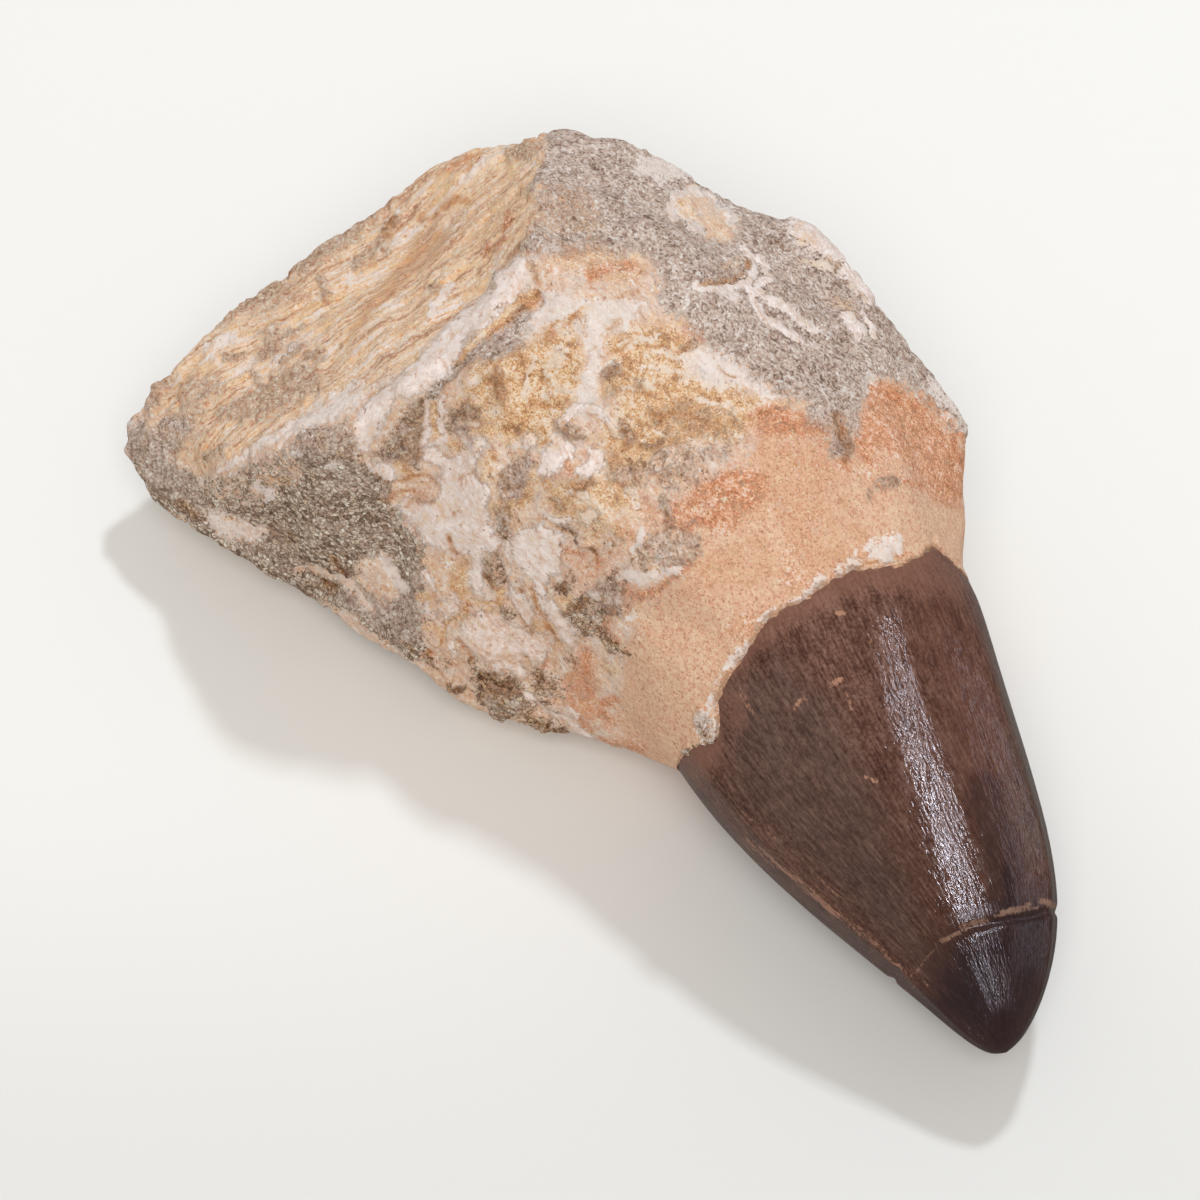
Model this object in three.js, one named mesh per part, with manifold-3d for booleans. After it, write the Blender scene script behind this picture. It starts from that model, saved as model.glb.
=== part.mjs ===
// Fossil mosasaur tooth: a dark enamel crown on a worn root with hard sand still on it.
// Millimetres, +Z up. The origin is the middle of the flat spot the root rests on,
// and +X runs along the tooth toward the tip of the crown.

import * as THREE from "three";
import { ConvexGeometry } from "three/addons/geometries/ConvexGeometry.js";
import { mergeVertices } from "three/addons/utils/BufferGeometryUtils.js";
import { ImprovedNoise } from "three/addons/math/ImprovedNoise.js";
import Module from "manifold-3d";

// Crown
const crownBase = new THREE.Vector3(37.4, 9.0, 19.0);
const crownTip = new THREE.Vector3(80.1, 0.6, 9.5);
const crownRadius = 18.1;
const crownTaper = 1.34; // how late the cone starts to narrow
const crownPoint = 0.61; // below 1 rounds the tip
const crownBow = 2.3; // sideways curve of the middle line
const seatDepth = 9; // how far the crown goes on inside the root
const seatStart = 4; // where the hidden part begins to draw in
const seatTaper = 0.86;
const carinae = [-73, 50]; // the two cutting edges, degrees from the top
const carinaHeight = 0.45;
const breakAt = 32.9; // the mended break near the tip
const breakDepth = 0.4;
const crownSides = 36;

// Root and the sand on it
const rootHeart = new THREE.Vector3(1.2, 1.6, 24);
const rootDetail = 16;
const lumpSize = [14, 6.5];
const lumpHeight = [1.5, 0.8];
const wearAngle = 3; // degrees over which broken edges are rounded
const flatReach = 8; // the root's skin stops here inside the crown, to be cut away
const seatGap = 0.3;
const lipHeight = 0.55; // the root's edge stands this far off the enamel
const lipSlope = 0.8;
const rimStep = 4; // degrees between points on the rim of the seat
const creaseStep = 1.2; // between points on the sharp creases

// Where the enamel stops, millimetres from the crown's base plane, by degrees from the top
const enamelEdge = [
  [-180, -0.5], [-98, 3.7], [-70, 3.7], [-57, 5.8], [-50, 2.4], [-37, 0.4], [-30, -0.7],
  [-17, -2.3], [11, -3.2], [30, -2.8], [77, -3.5], [130, -2.2], [180, -0.5],
];

// The root's form, feature by feature
const rootMarks = {
  ridge: [
    [-20, 15, 44], [-12, 8.5, 48], [-5, 2.5, 50], [-2, -7.5, 47], [-3.5, -15, 42],
    [-6.5, -20.5, 38], [-12.5, -26, 31], [-18, -31, 23],
  ],
  brokenFace: [
    [-20.5, 6.5, 38], [-25, -1, 29.5], [-25, -11.5, 27], [-26, -21.5, 22.5], [-28, -27.5, 20],
  ],
  brokenEdge: [
    [-35.2, -34.6, 11.5], [-36.7, -30.6, 14.5], [-38.2, -24.5, 17.3], [-39, -14, 19.5],
    [-37.5, -3, 23], [-36.5, 7, 27.5], [-33, 13, 33], [-28, 16, 38.5],
  ],
  farEdge: [
    [-22, 20, 42.5], [-19, 23, 42.5], [-15.5, 25.8, 40.8], [-11, 28.8, 38.7], [-6, 31.8, 36.6],
    [-2, 35.8, 34.3], [5.5, 36.5, 33], [9.5, 36, 32], [15.5, 37, 30], [21.5, 37.5, 28],
    [26, 37.3, 27], [31, 34.6, 26.3], [34.2, 30, 25],
  ],
  top: [
    [3, 5.5, 50], [-3, 16, 47], [6.5, 15.5, 45.5], [16.5, 8, 46], [3.5, 26, 41], [13, 24, 41],
    [26, 14, 42.5], [23, 25.5, 38], [31, 23, 37], [12, 1.5, 46],
  ],
  front: [
    [-10, -24.5, 21], [0, -18.5, 27], [0.5, -13.5, 36], [3, -7.5, 43], [9, -11.5, 35.5],
    [13.5, -15, 21], [17.5, -6.5, 41], [22.5, -9, 31], [24.5, -10, 19], [-18.5, -28.5, 15],
  ],
  frontEdge: [
    [-30, -34, 8.5], [-21, -30.5, 8], [-15, -28, 7], [-7.5, -25, 7], [-1.5, -24, 7],
    [4, -23, 7], [7.5, -22.8, 7], [13, -19.8, 6], [17, -17.2, 6], [21.5, -14, 6],
    [26.5, -11, 7], [30.5, -9, 9],
  ],
  underside: [
    [-19, -16, -1], [-4.5, -16.5, -1], [10, -10, -1], [20, 0.5, -1], [21, 12, -1],
    [5.5, 18, -1], [-10, 10, -1], [-21, -2, -1],
  ],
  backEdge: [
    [29, 29.5, 8], [11, 34, 8], [-4, 30, 9], [-16.5, 19.5, 10], [-27.5, 8, 9],
    [-35.5, -8, 8], [-34.5, -23, 8],
  ],
};

// Worn hollows and raised rims: points they run through, reach to each side, height
const strokes = [
  { through: [[-3, 1, 48], [-1, -7, 43], [-2, -13, 38]], reach: 3.2, height: -2.2 },
  { through: [[-3, 16, 47], [4, 18, 45], [10, 14, 45], [16, 12, 44]], reach: 3.5, height: 0.9 },
  { through: [[-12, 8.5, 48], [-5, 2.5, 50], [-2.5, -8, 47], [-5, -16, 42]], reach: 2.6, height: 0.9 },
  { through: [[17, -6, 39], [20, -8, 34]], reach: 5, height: -1.1 },
  { through: [[-2, -20, 25], [2, -20, 17]], reach: 3.5, height: -1.6 },
  { through: [[-5, -23, 23], [-8, -24, 19]], reach: 3, height: 1.0 },
  { through: [[10, -16, 17], [4, -20, 12]], reach: 3.5, height: 1.2 },
  { through: [[9, 24, 43.5], [9.5, 24, 43]], reach: 4.2, height: 0.8 },
];

const wasm = await Module();
wasm.setup();
const noise = new ImprovedNoise();
const rad = Math.PI / 180;
const clamp = THREE.MathUtils.clamp;
const smooth = (x, a, b) => THREE.MathUtils.smoothstep(x, a, b);

// ---- the crown's own frame: along it, its top, and the side it bows to ----
const along = crownTip.clone().sub(crownBase);
const crownLength = along.length();
along.normalize();
const side = new THREE.Vector3(0, 0, 1).cross(along).normalize();
const up = along.clone().cross(side);

function middleAt(x) {
  const t = clamp(x / crownLength, 0, 1);
  return crownBase.clone().addScaledVector(along, x)
    .addScaledVector(side, crownBow * Math.sin(Math.PI * t ** 2.3));
}

function degreesApart(a, b) {
  return Math.abs(((a - b + 540) % 360) - 180);
}

function radiusAt(x, deg) {
  const t = clamp(x / crownLength, 0, 1);
  let r = crownRadius * (1 - t ** crownTaper) ** crownPoint;
  r *= 1 - (1 - seatTaper) * smooth(-x, seatStart, seatDepth);
  const shown = smooth(x, -2, 8) * (1 - smooth(x, crownLength - 4, crownLength));
  for (const edge of carinae) {
    const d = degreesApart(deg, edge);
    r += shown * carinaHeight * (Math.exp(-((d / 8) ** 2)) - 0.5 * Math.exp(-(((d - 22) / 12) ** 2)));
  }
  const gash = x - breakAt - breakWave(deg);
  return r - breakDepth * Math.exp(-((gash / 0.55) ** 2));
}

function breakWave(deg) {
  return 0.8 * Math.sin(deg * rad + 0.6) + 0.35 * Math.sin(3 * deg * rad);
}

function edgeAt(deg) {
  for (let i = 1; i < enamelEdge.length; i++) {
    const [a, xa] = enamelEdge[i - 1];
    const [b, xb] = enamelEdge[i];
    if (deg <= b) return xa + ((xb - xa) * (deg - a)) / (b - a);
  }
  return enamelEdge[0][1];
}

function onCrown(x, deg, grow = 0) {
  const r = radiusAt(x, deg) + grow;
  return middleAt(x)
    .addScaledVector(up, r * Math.cos(deg * rad))
    .addScaledVector(side, r * Math.sin(deg * rad));
}

// Where a point lies on the crown: along, round, and how far outside its surface
function crownPlace(p) {
  const x = p.clone().sub(crownBase).dot(along);
  const off = p.clone().sub(middleAt(x));
  const deg = Math.atan2(off.dot(side), off.dot(up)) / rad;
  let out = Math.hypot(off.dot(side), off.dot(up)) - radiusAt(x, deg);
  if (x > crownLength) out = Math.max(out, x - crownLength + 1);
  return { x, deg, out: Math.max(out, -seatDepth - x) };
}

// ---- crown: rings of points from the hidden end to the tip ----
function crownGeometry(grow) {
  const stations = [-9, -6.5, -4, -1.5, 1, 3.5, 6, 8.5, 11, 13.5, 16, 18.5, 21, 23.5, 26, 28.5,
    30.7, 32.3, 32.9, 33.5, 35, 37, 39, 40.8, 42.2, 43.2, 43.9];
  const points = [];
  const faces = [];
  const stop = stations.length - 1;
  stations.forEach((station, i) => {
    for (let k = 0; k < crownSides; k++) {
      const deg = -180 + (360 * k) / crownSides;
      const near = Math.exp(-(((station - breakAt) / 3) ** 2));
      let x = station + near * breakWave(deg);
      if (i === 0) x -= grow;
      points.push(onCrown(x, deg, grow));
    }
  });
  for (let i = 0; i < stop; i++) {
    for (let k = 0; k < crownSides; k++) {
      const n = (k + 1) % crownSides;
      const a = i * crownSides + k;
      const b = i * crownSides + n;
      const c = (i + 1) * crownSides + n;
      const d = (i + 1) * crownSides + k;
      faces.push([a, c, b], [a, d, c]);
    }
  }
  const first = points.push(middleAt(-seatDepth - grow)) - 1;
  const last = points.push(middleAt(crownLength + grow)) - 1;
  for (let k = 0; k < crownSides; k++) {
    const n = (k + 1) % crownSides;
    faces.push([first, k, n]);
    faces.push([last, stop * crownSides + n, stop * crownSides + k]);
  }
  return closedGeometry(points, faces);
}

function closedGeometry(points, faces) {
  const geometry = new THREE.BufferGeometry();
  geometry.setAttribute("position", new THREE.Float32BufferAttribute(points.flatMap((p) => p.toArray()), 3));
  geometry.setIndex(faces.flat());
  if (volume(geometry) < 0) geometry.setIndex(faces.map(([a, b, c]) => [a, c, b]).flat());
  geometry.computeVertexNormals();
  return geometry;
}

function volume(geometry) {
  const pos = geometry.attributes.position;
  const idx = geometry.index.array;
  const p = [new THREE.Vector3(), new THREE.Vector3(), new THREE.Vector3()];
  let sum = 0;
  for (let i = 0; i < idx.length; i += 3) {
    p.forEach((v, k) => v.fromBufferAttribute(pos, idx[i + k]));
    sum += p[0].dot(p[1].cross(p[2])) / 6;
  }
  return sum;
}

// ---- root: a body seen from its heart, one distance for each direction ----
const collar = [];
for (let deg = -170; deg <= 170; deg += 20) collar.push(onCrown(edgeAt(deg) - 0.5, deg, 0.9));
collar.push(middleAt(13));
const marks = [...Object.values(rootMarks).flat().map((p) => new THREE.Vector3(...p)), ...collar]
  .map((p) => p.sub(rootHeart));
const markTriangles = hullOf(marks.map((p) => p.clone().normalize()))
  .map((tri) => tri.map((i) => marks[i]));
const markPlanes = markTriangles.map(([a, b, c]) => new THREE.Matrix3()
  .set(a.x, b.x, c.x, a.y, b.y, c.y, a.z, b.z, c.z).invert());

// Triangles, as point numbers, that join directions spread over the whole sphere
function hullOf(directions) {
  const pos = new ConvexGeometry(directions).attributes.position;
  const key = (v) => v.toArray().map(Math.fround).join();
  const number = new Map(directions.map((d, i) => [key(d), i]));
  const corner = new THREE.Vector3();
  const triangles = [];
  for (let i = 0; i < pos.count; i += 3) {
    triangles.push([0, 1, 2].map((k) => number.get(key(corner.fromBufferAttribute(pos, i + k)))));
  }
  return triangles;
}

const weights = new THREE.Vector3();
function plainReach(d) {
  for (const inverse of markPlanes) {
    weights.copy(d).applyMatrix3(inverse);
    if (weights.x >= -1e-7 && weights.y >= -1e-7 && weights.z >= -1e-7) {
      return 1 / (weights.x + weights.y + weights.z);
    }
  }
  return 30;
}

// Broken edges rounded by wear: the mean over two small cones about the direction
function wornReach(d) {
  const a = new THREE.Vector3(0.3, 0.5, 0.81).cross(d).normalize();
  const b = d.clone().cross(a);
  let sum = 2 * plainReach(d);
  let count = 2;
  for (const [angle, n] of [[wearAngle * 0.5, 6], [wearAngle, 8]]) {
    for (let i = 0; i < n; i++) {
      const turn = (2 * Math.PI * i) / n;
      const q = d.clone().addScaledVector(a, Math.tan(angle * rad) * Math.cos(turn))
        .addScaledVector(b, Math.tan(angle * rad) * Math.sin(turn)).normalize();
      sum += plainReach(q);
      count += 1;
    }
  }
  return sum / count;
}

function strokeHeight(p) {
  let sum = 0;
  for (const { through, reach, height } of strokes) {
    let near = Infinity;
    for (let i = 1; i < through.length; i++) {
      const line = new THREE.Line3(new THREE.Vector3(...through[i - 1]), new THREE.Vector3(...through[i]));
      near = Math.min(near, line.closestPointToPoint(p, true, new THREE.Vector3()).distanceTo(p));
    }
    sum += height * Math.exp(-((near / reach) ** 2));
  }
  return sum;
}

// Where a line from the heart leaves the crown, or null if it never meets it
function crownExit(d) {
  const at = (r) => crownPlace(rootHeart.clone().addScaledVector(d, r));
  let inside = null;
  for (let r = 10; r < 85; r += 0.5) if (at(r).out < 0) inside = r;
  if (inside === null) return null;
  let low = inside;
  let high = inside + 0.5;
  for (let i = 0; i < 12; i++) {
    const mid = (low + high) / 2;
    if (at(mid).out < 0) low = mid;
    else high = mid;
  }
  return { r: low, ...at(low) };
}

function rootReach(d) {
  let r = wornReach(d);
  const p = rootHeart.clone().addScaledVector(d, r);
  const clear = smooth(p.distanceTo(crownBase), 18, 26);
  lumpSize.forEach((size, i) => {
    r += clear * lumpHeight[i] * noise.noise(p.x / size + 7.3, p.y / size + 2.1 + i, p.z / size + 4.7);
  });
  r += strokeHeight(p);
  const exit = crownExit(d);
  if (exit) {
    const shown = exit.x - edgeAt(exit.deg);
    if (shown > 0) {
      r = Math.min(exit.r - 0.4 - shown, (flatReach - rootHeart.clone().sub(crownBase).dot(along)) / d.dot(along));
    } else {
      r = clamp(r, exit.r + lipHeight - 0.08 * shown, exit.r + lipHeight - lipSlope * shown);
    }
  }
  if (d.z < 0) r = Math.min(r, -rootHeart.z / d.z);
  return r;
}

function directionsAlong(points) {
  const line = new THREE.CurvePath();
  for (let i = 1; i < points.length; i++) {
    line.add(new THREE.LineCurve3(new THREE.Vector3(...points[i - 1]), new THREE.Vector3(...points[i])));
  }
  return line.getSpacedPoints(Math.round(line.getLength() / creaseStep))
    .map((p) => p.sub(rootHeart).normalize());
}

function rootGeometry() {
  const ball = new THREE.IcosahedronGeometry(1, rootDetail);
  ball.deleteAttribute("normal");
  ball.deleteAttribute("uv");
  const pos = mergeVertices(ball, 1e-5).attributes.position;
  const fixed = [rootMarks.ridge, strokes[0].through].flatMap(directionsAlong);
  for (let deg = -180; deg < 180; deg += rimStep) {
    for (const off of [-0.5, 1.2]) {
      fixed.push(onCrown(edgeAt(deg) + off, deg).sub(rootHeart).normalize());
    }
  }
  const directions = [...fixed];
  for (let i = 0; i < pos.count; i++) {
    const d = new THREE.Vector3().fromBufferAttribute(pos, i).normalize();
    if (fixed.every((q) => q.distanceTo(d) > 0.03)) directions.push(d);
  }
  const points = directions.map((d) => rootHeart.clone().addScaledVector(d, rootReach(d)));
  for (const p of points) if (Math.abs(p.z) < 1e-6) p.z = 0;
  return closedGeometry(points, hullOf(directions));
}

// ---- the crown's seat cut out of the root ----
function solidOf(geometry) {
  return new wasm.Manifold(new wasm.Mesh({
    numProp: 3,
    vertProperties: new Float32Array(geometry.attributes.position.array),
    triVerts: new Uint32Array(geometry.index.array),
  }));
}

function geometryOf(solid) {
  const mesh = solid.getMesh();
  const geometry = new THREE.BufferGeometry();
  geometry.setAttribute("position", new THREE.BufferAttribute(new Float32Array(mesh.vertProperties), 3));
  geometry.setIndex(new THREE.BufferAttribute(new Uint32Array(mesh.triVerts), 1));
  geometry.computeVertexNormals();
  return geometry;
}

const crown = new THREE.Mesh(
  crownGeometry(0),
  new THREE.MeshStandardMaterial({ name: "enamel", color: 0x4a342e, roughness: 0.32, metalness: 0 }),
);
crown.name = "crown";

const root = new THREE.Mesh(
  geometryOf(solidOf(rootGeometry()).subtract(solidOf(crownGeometry(seatGap)))),
  new THREE.MeshStandardMaterial({ name: "bone_and_sand", color: 0xc9a882, roughness: 0.9, metalness: 0 }),
);
root.name = "tooth_root";

const tooth = new THREE.Group();
tooth.name = "fossil_mosasaur_tooth";
tooth.add(crown, root);

export default tooth;
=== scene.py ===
import math

import bpy
import numpy as np
from mathutils import Matrix, Vector, noise
from mathutils.bvhtree import BVHTree
from mathutils.kdtree import KDTree


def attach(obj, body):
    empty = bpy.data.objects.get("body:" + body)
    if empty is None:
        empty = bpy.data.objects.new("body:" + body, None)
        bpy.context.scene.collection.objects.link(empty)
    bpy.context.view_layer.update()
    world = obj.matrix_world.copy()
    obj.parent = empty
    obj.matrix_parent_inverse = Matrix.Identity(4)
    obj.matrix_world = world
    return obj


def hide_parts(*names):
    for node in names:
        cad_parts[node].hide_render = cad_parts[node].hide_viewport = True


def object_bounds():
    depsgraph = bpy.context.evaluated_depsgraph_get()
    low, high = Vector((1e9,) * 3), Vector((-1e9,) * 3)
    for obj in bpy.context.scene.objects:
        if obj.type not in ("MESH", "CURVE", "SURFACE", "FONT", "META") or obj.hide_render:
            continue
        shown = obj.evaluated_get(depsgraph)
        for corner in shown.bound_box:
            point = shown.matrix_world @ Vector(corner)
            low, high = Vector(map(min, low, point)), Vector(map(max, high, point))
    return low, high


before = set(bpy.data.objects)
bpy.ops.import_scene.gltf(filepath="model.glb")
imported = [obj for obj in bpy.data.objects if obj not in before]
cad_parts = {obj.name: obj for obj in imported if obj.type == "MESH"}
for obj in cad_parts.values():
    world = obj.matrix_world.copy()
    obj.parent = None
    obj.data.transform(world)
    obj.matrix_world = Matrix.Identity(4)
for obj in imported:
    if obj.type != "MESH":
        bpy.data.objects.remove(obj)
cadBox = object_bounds()
mm = 0.001
print("frame loaded")


def takeUp(piece):  # selects one piece alone and makes it active
    if bpy.context.mode != "OBJECT":
        bpy.ops.object.mode_set(mode="OBJECT")
    bpy.ops.object.select_all(action="DESELECT")
    piece.select_set(True)
    bpy.context.view_layer.objects.active = piece


def copyOfNode(nodeName, pieceName):
    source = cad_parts[nodeName]
    piece = bpy.data.objects.new(pieceName, source.data.copy())
    piece.data.materials.clear()
    bpy.context.scene.collection.objects.link(piece)
    takeUp(piece)
    bpy.ops.object.mode_set(mode="EDIT")
    bpy.ops.mesh.select_all(action="SELECT")
    bpy.ops.mesh.remove_doubles(threshold=0.002 * mm)
    bpy.ops.object.mode_set(mode="OBJECT")
    return piece


def selectFaces(piece, flags):  # and leaves the piece in edit mode
    takeUp(piece)
    bpy.ops.object.mode_set(mode="EDIT")
    bpy.ops.mesh.select_mode(type="FACE")
    bpy.ops.mesh.select_all(action="DESELECT")
    bpy.ops.object.mode_set(mode="OBJECT")
    piece.data.polygons.foreach_set("select", flags)
    bpy.ops.object.mode_set(mode="EDIT")


def applyModifier(piece, kind, **settings):
    modifier = piece.modifiers.new(kind.lower(), kind)
    for key, value in settings.items():
        setattr(modifier, key, value)
    takeUp(piece)
    bpy.ops.object.modifier_apply(modifier=modifier.name)


def pointsOf(piece):  # vertex places in millimetres
    co = np.empty(len(piece.data.vertices) * 3)
    piece.data.vertices.foreach_get("co", co)
    return co.reshape(-1, 3) / mm


def normalsOf(piece):
    normals = np.empty(len(piece.data.vertices) * 3)
    piece.data.vertices.foreach_get("normal", normals)
    return normals.reshape(-1, 3)


def setPoints(piece, points):
    piece.data.vertices.foreach_set("co", (points * mm).ravel())
    piece.data.update()


def store(piece, name, values):  # a value at each vertex, read by the material
    kind = "FLOAT" if values.ndim == 1 else "FLOAT_VECTOR"
    layer = piece.data.attributes.new(name, kind, "POINT")
    layer.data.foreach_set("value" if values.ndim == 1 else "vector", values.astype(np.float32).ravel())


def lumps(points, size, seed, octaves=1):  # soft noise, about -1 to 1
    shift = Vector((3.17, 1.93, 2.71)) * seed
    return np.array([noise.fractal(Vector(p) / size + shift, 1.0, 2.0, octaves) for p in points])


def smoothStep(x, low, high):
    t = np.clip((x - low) / (high - low), 0, 1)
    return t * t * (3 - 2 * t)


view = {  # the camera: degrees, millimetres, and the frame's width in view places
    "turn": 54.0, "tilt": 32.0, "distance": 500.0, "lens": 143.0, "sensor": 36.0, "aim": (18.0, -5.5, 22.0),
    "frame": 1200.0, "nearest": 0.05, "farthest": 20.0,
}

turn, tilt = math.radians(view["turn"]), math.radians(view["tilt"])
viewRight = np.array([math.cos(turn), math.sin(turn), 0.0])
viewBack = np.array([math.sin(turn) * math.sin(tilt), -math.cos(turn) * math.sin(tilt), math.cos(tilt)])
viewUp = np.cross(viewBack, viewRight)
viewEye = np.array(view["aim"]) + view["distance"] * viewBack
viewZoom = view["lens"] / view["sensor"] * view["frame"]

bpy.ops.object.camera_add(location=Vector(viewEye) * mm, rotation=(tilt, 0, turn))
camera = bpy.context.object
camera.name = "camera"
camera.data.lens = view["lens"]
camera.data.clip_start, camera.data.clip_end = view["nearest"], view["farthest"]
bpy.context.scene.camera = camera


def onView(points):  # where points fall on the camera's 1200 by 1200 frame
    off = points - viewEye
    depth = -(off @ viewBack)
    half = view["frame"] / 2
    across, up = viewZoom * (off @ viewRight) / depth, viewZoom * (off @ viewUp) / depth
    return np.stack([half + across, half - up], -1)


crownForm = {  # shared by both pieces, in millimetres and degrees
    "base": (37.4, 9.0, 19.0), "tip": (80.1, 0.6, 9.5), "radius": 18.1, "taper": 1.34, "point": 0.61,
    "bow": 2.3, "carinae": (-73, 50), "carinaHeight": 0.45, "neck": 0.14,
    "breakAt": 32.9, "breakDepth": 0.3, "breakWidth": 0.42,
    "seat": 9.3,  # depth of the hollow in the root, from the crown's base
    # where the enamel starts: degrees round the crown, millimetres along it
    "edge": ((-180, -0.5), (-130, 2.4), (-107, 3.0), (-88, 3.2), (-72, 4.6), (-63, 5.3), (-61, 5.0),
             (-56, 3.4), (-52, 1.7), (-44, 0.4), (-39, -0.2), (-32, -1.4), (-26, -2.6), (-19, -3.0),
             (-8, -2.8), (-1, -3.6), (8, -3.8), (16, -3.3), (26, -2.8), (38, -3.6), (49, -5.0),
             (52, -4.0), (58, -2.8), (63, -1.6), (90, -1.8), (130, -2.2), (180, -0.5)),
}
crownBase = np.array(crownForm["base"])
crownAlong = np.array(crownForm["tip"]) - crownBase
crownLength = np.linalg.norm(crownAlong)
crownAlong /= crownLength
crownSide = np.cross((0, 0, 1), crownAlong)
crownSide /= np.linalg.norm(crownSide)
crownUp = np.cross(crownAlong, crownSide)


def crownMiddle(x):
    t = np.clip(x / crownLength, 0, 1)
    bow = crownForm["bow"] * np.sin(np.pi * t ** 2.3)
    return crownBase + x[:, None] * crownAlong + bow[:, None] * crownSide


def crownRadius(x, deg):
    t = np.clip(x / crownLength, 0, 1)
    r = crownForm["radius"] * (1 - t ** crownForm["taper"]) ** crownForm["point"]
    r = r * (1 - crownForm["neck"] * smoothStep(-x, 4, 9))  # narrower inside the root
    shown = smoothStep(x, -2, 8) * (1 - smoothStep(x, crownLength - 4, crownLength))
    for edge in crownForm["carinae"]:
        d = np.abs((deg - edge + 540) % 360 - 180)
        ridge = np.exp(-(d / 8) ** 2) - 0.5 * np.exp(-((d - 22) / 12) ** 2)  # with a hollow on each side
        r = r + shown * crownForm["carinaHeight"] * ridge
    return r


def crownPlace(points):  # along the crown, degrees round it, and height over its surface
    x = (points - crownBase) @ crownAlong
    off = points - crownMiddle(x)
    deg = np.degrees(np.arctan2(off @ crownSide, off @ crownUp))
    out = np.hypot(off @ crownSide, off @ crownUp) - crownRadius(x, deg)
    return x, deg, out


def enamelEdge(deg):
    angles, places = np.array(crownForm["edge"]).T
    return np.interp(deg, angles, places)


def lineDistance(places, line):  # in view places, like all that is painted
    best = np.full(len(places), 1e9)
    for a, b in zip(line[:-1], line[1:]):
        a, b = np.array(a, float), np.array(b, float)
        span = b - a
        t = np.clip(((places - a) @ span) / max(span @ span, 1e-9), 0, 1)
        best = np.minimum(best, np.linalg.norm(places - a - t[:, None] * span, axis=1))
    return best


def areaDistance(places, outline):  # positive inside
    loop = list(outline) + [outline[0]]
    inside = np.zeros(len(places), bool)
    for (ax, ay), (bx, by) in zip(loop[:-1], loop[1:]):
        if ay == by:
            continue
        crosses = (places[:, 1] < ay) != (places[:, 1] < by)
        inside ^= crosses & (places[:, 0] < (bx - ax) * (places[:, 1] - ay) / (by - ay) + ax)
    return np.where(inside, 1, -1) * lineDistance(places, loop)


def paintField(places, marks, softest=12.0):  # from 1 on the marks to -1 well off them
    field = np.full(len(places), -1.0)
    for width, solid, *line in marks:
        corners = np.array(line, float)
        soft = min(softest, max(3.5, 0.7 * width)) if width else softest + 3
        low, high = corners.min(0) - width / 2 - soft, corners.max(0) + width / 2 + soft
        near = np.flatnonzero(((places > low) & (places < high)).all(1))
        if not len(near):
            continue
        found = width / 2 - lineDistance(places[near], line) if width else areaDistance(places[near], line)
        found = np.clip(found / soft, -1, 1)
        if solid == -1:
            field[near] = np.minimum(field[near], -found)
        else:
            field[near] = np.maximum(field[near], np.minimum(found, solid))
    return field


stoneSet = {  # the root with its sand, in millimetres
    "voxel": 0.39, "smoothing": 12, "keptShare": 0.75,
    "streakRun": (0.13, 0.81, 0.57),  # the way the fibres of the broken end run
    "sandRise": 0.5, "chalkRise": 0.22, "shellRise": 0.12, "brownDepth": 0.22, "lumpy": 0.3, "rough": 0.19,
    "fibreRise": 0.3, "sink": 0.3, "overhang": 0.2,
    "fibreSquash": (0.035, 0.12), "boneSquash": 0.8,  # patterns are squashed, so they come out long
    "sway": 2.0, "fray": 3.0,  # how far the paint's edges wander, in view places
    "carried": (0.5, 5.0),  # where paint carried round onto the hidden sides starts and ends to fade
    "grain": 0.25, "bigGrain": 0.5, "roughness": 0.85, "gloss": 0.25, "bump": 0.8, "bumpDepth": 0.4,
}

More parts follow.
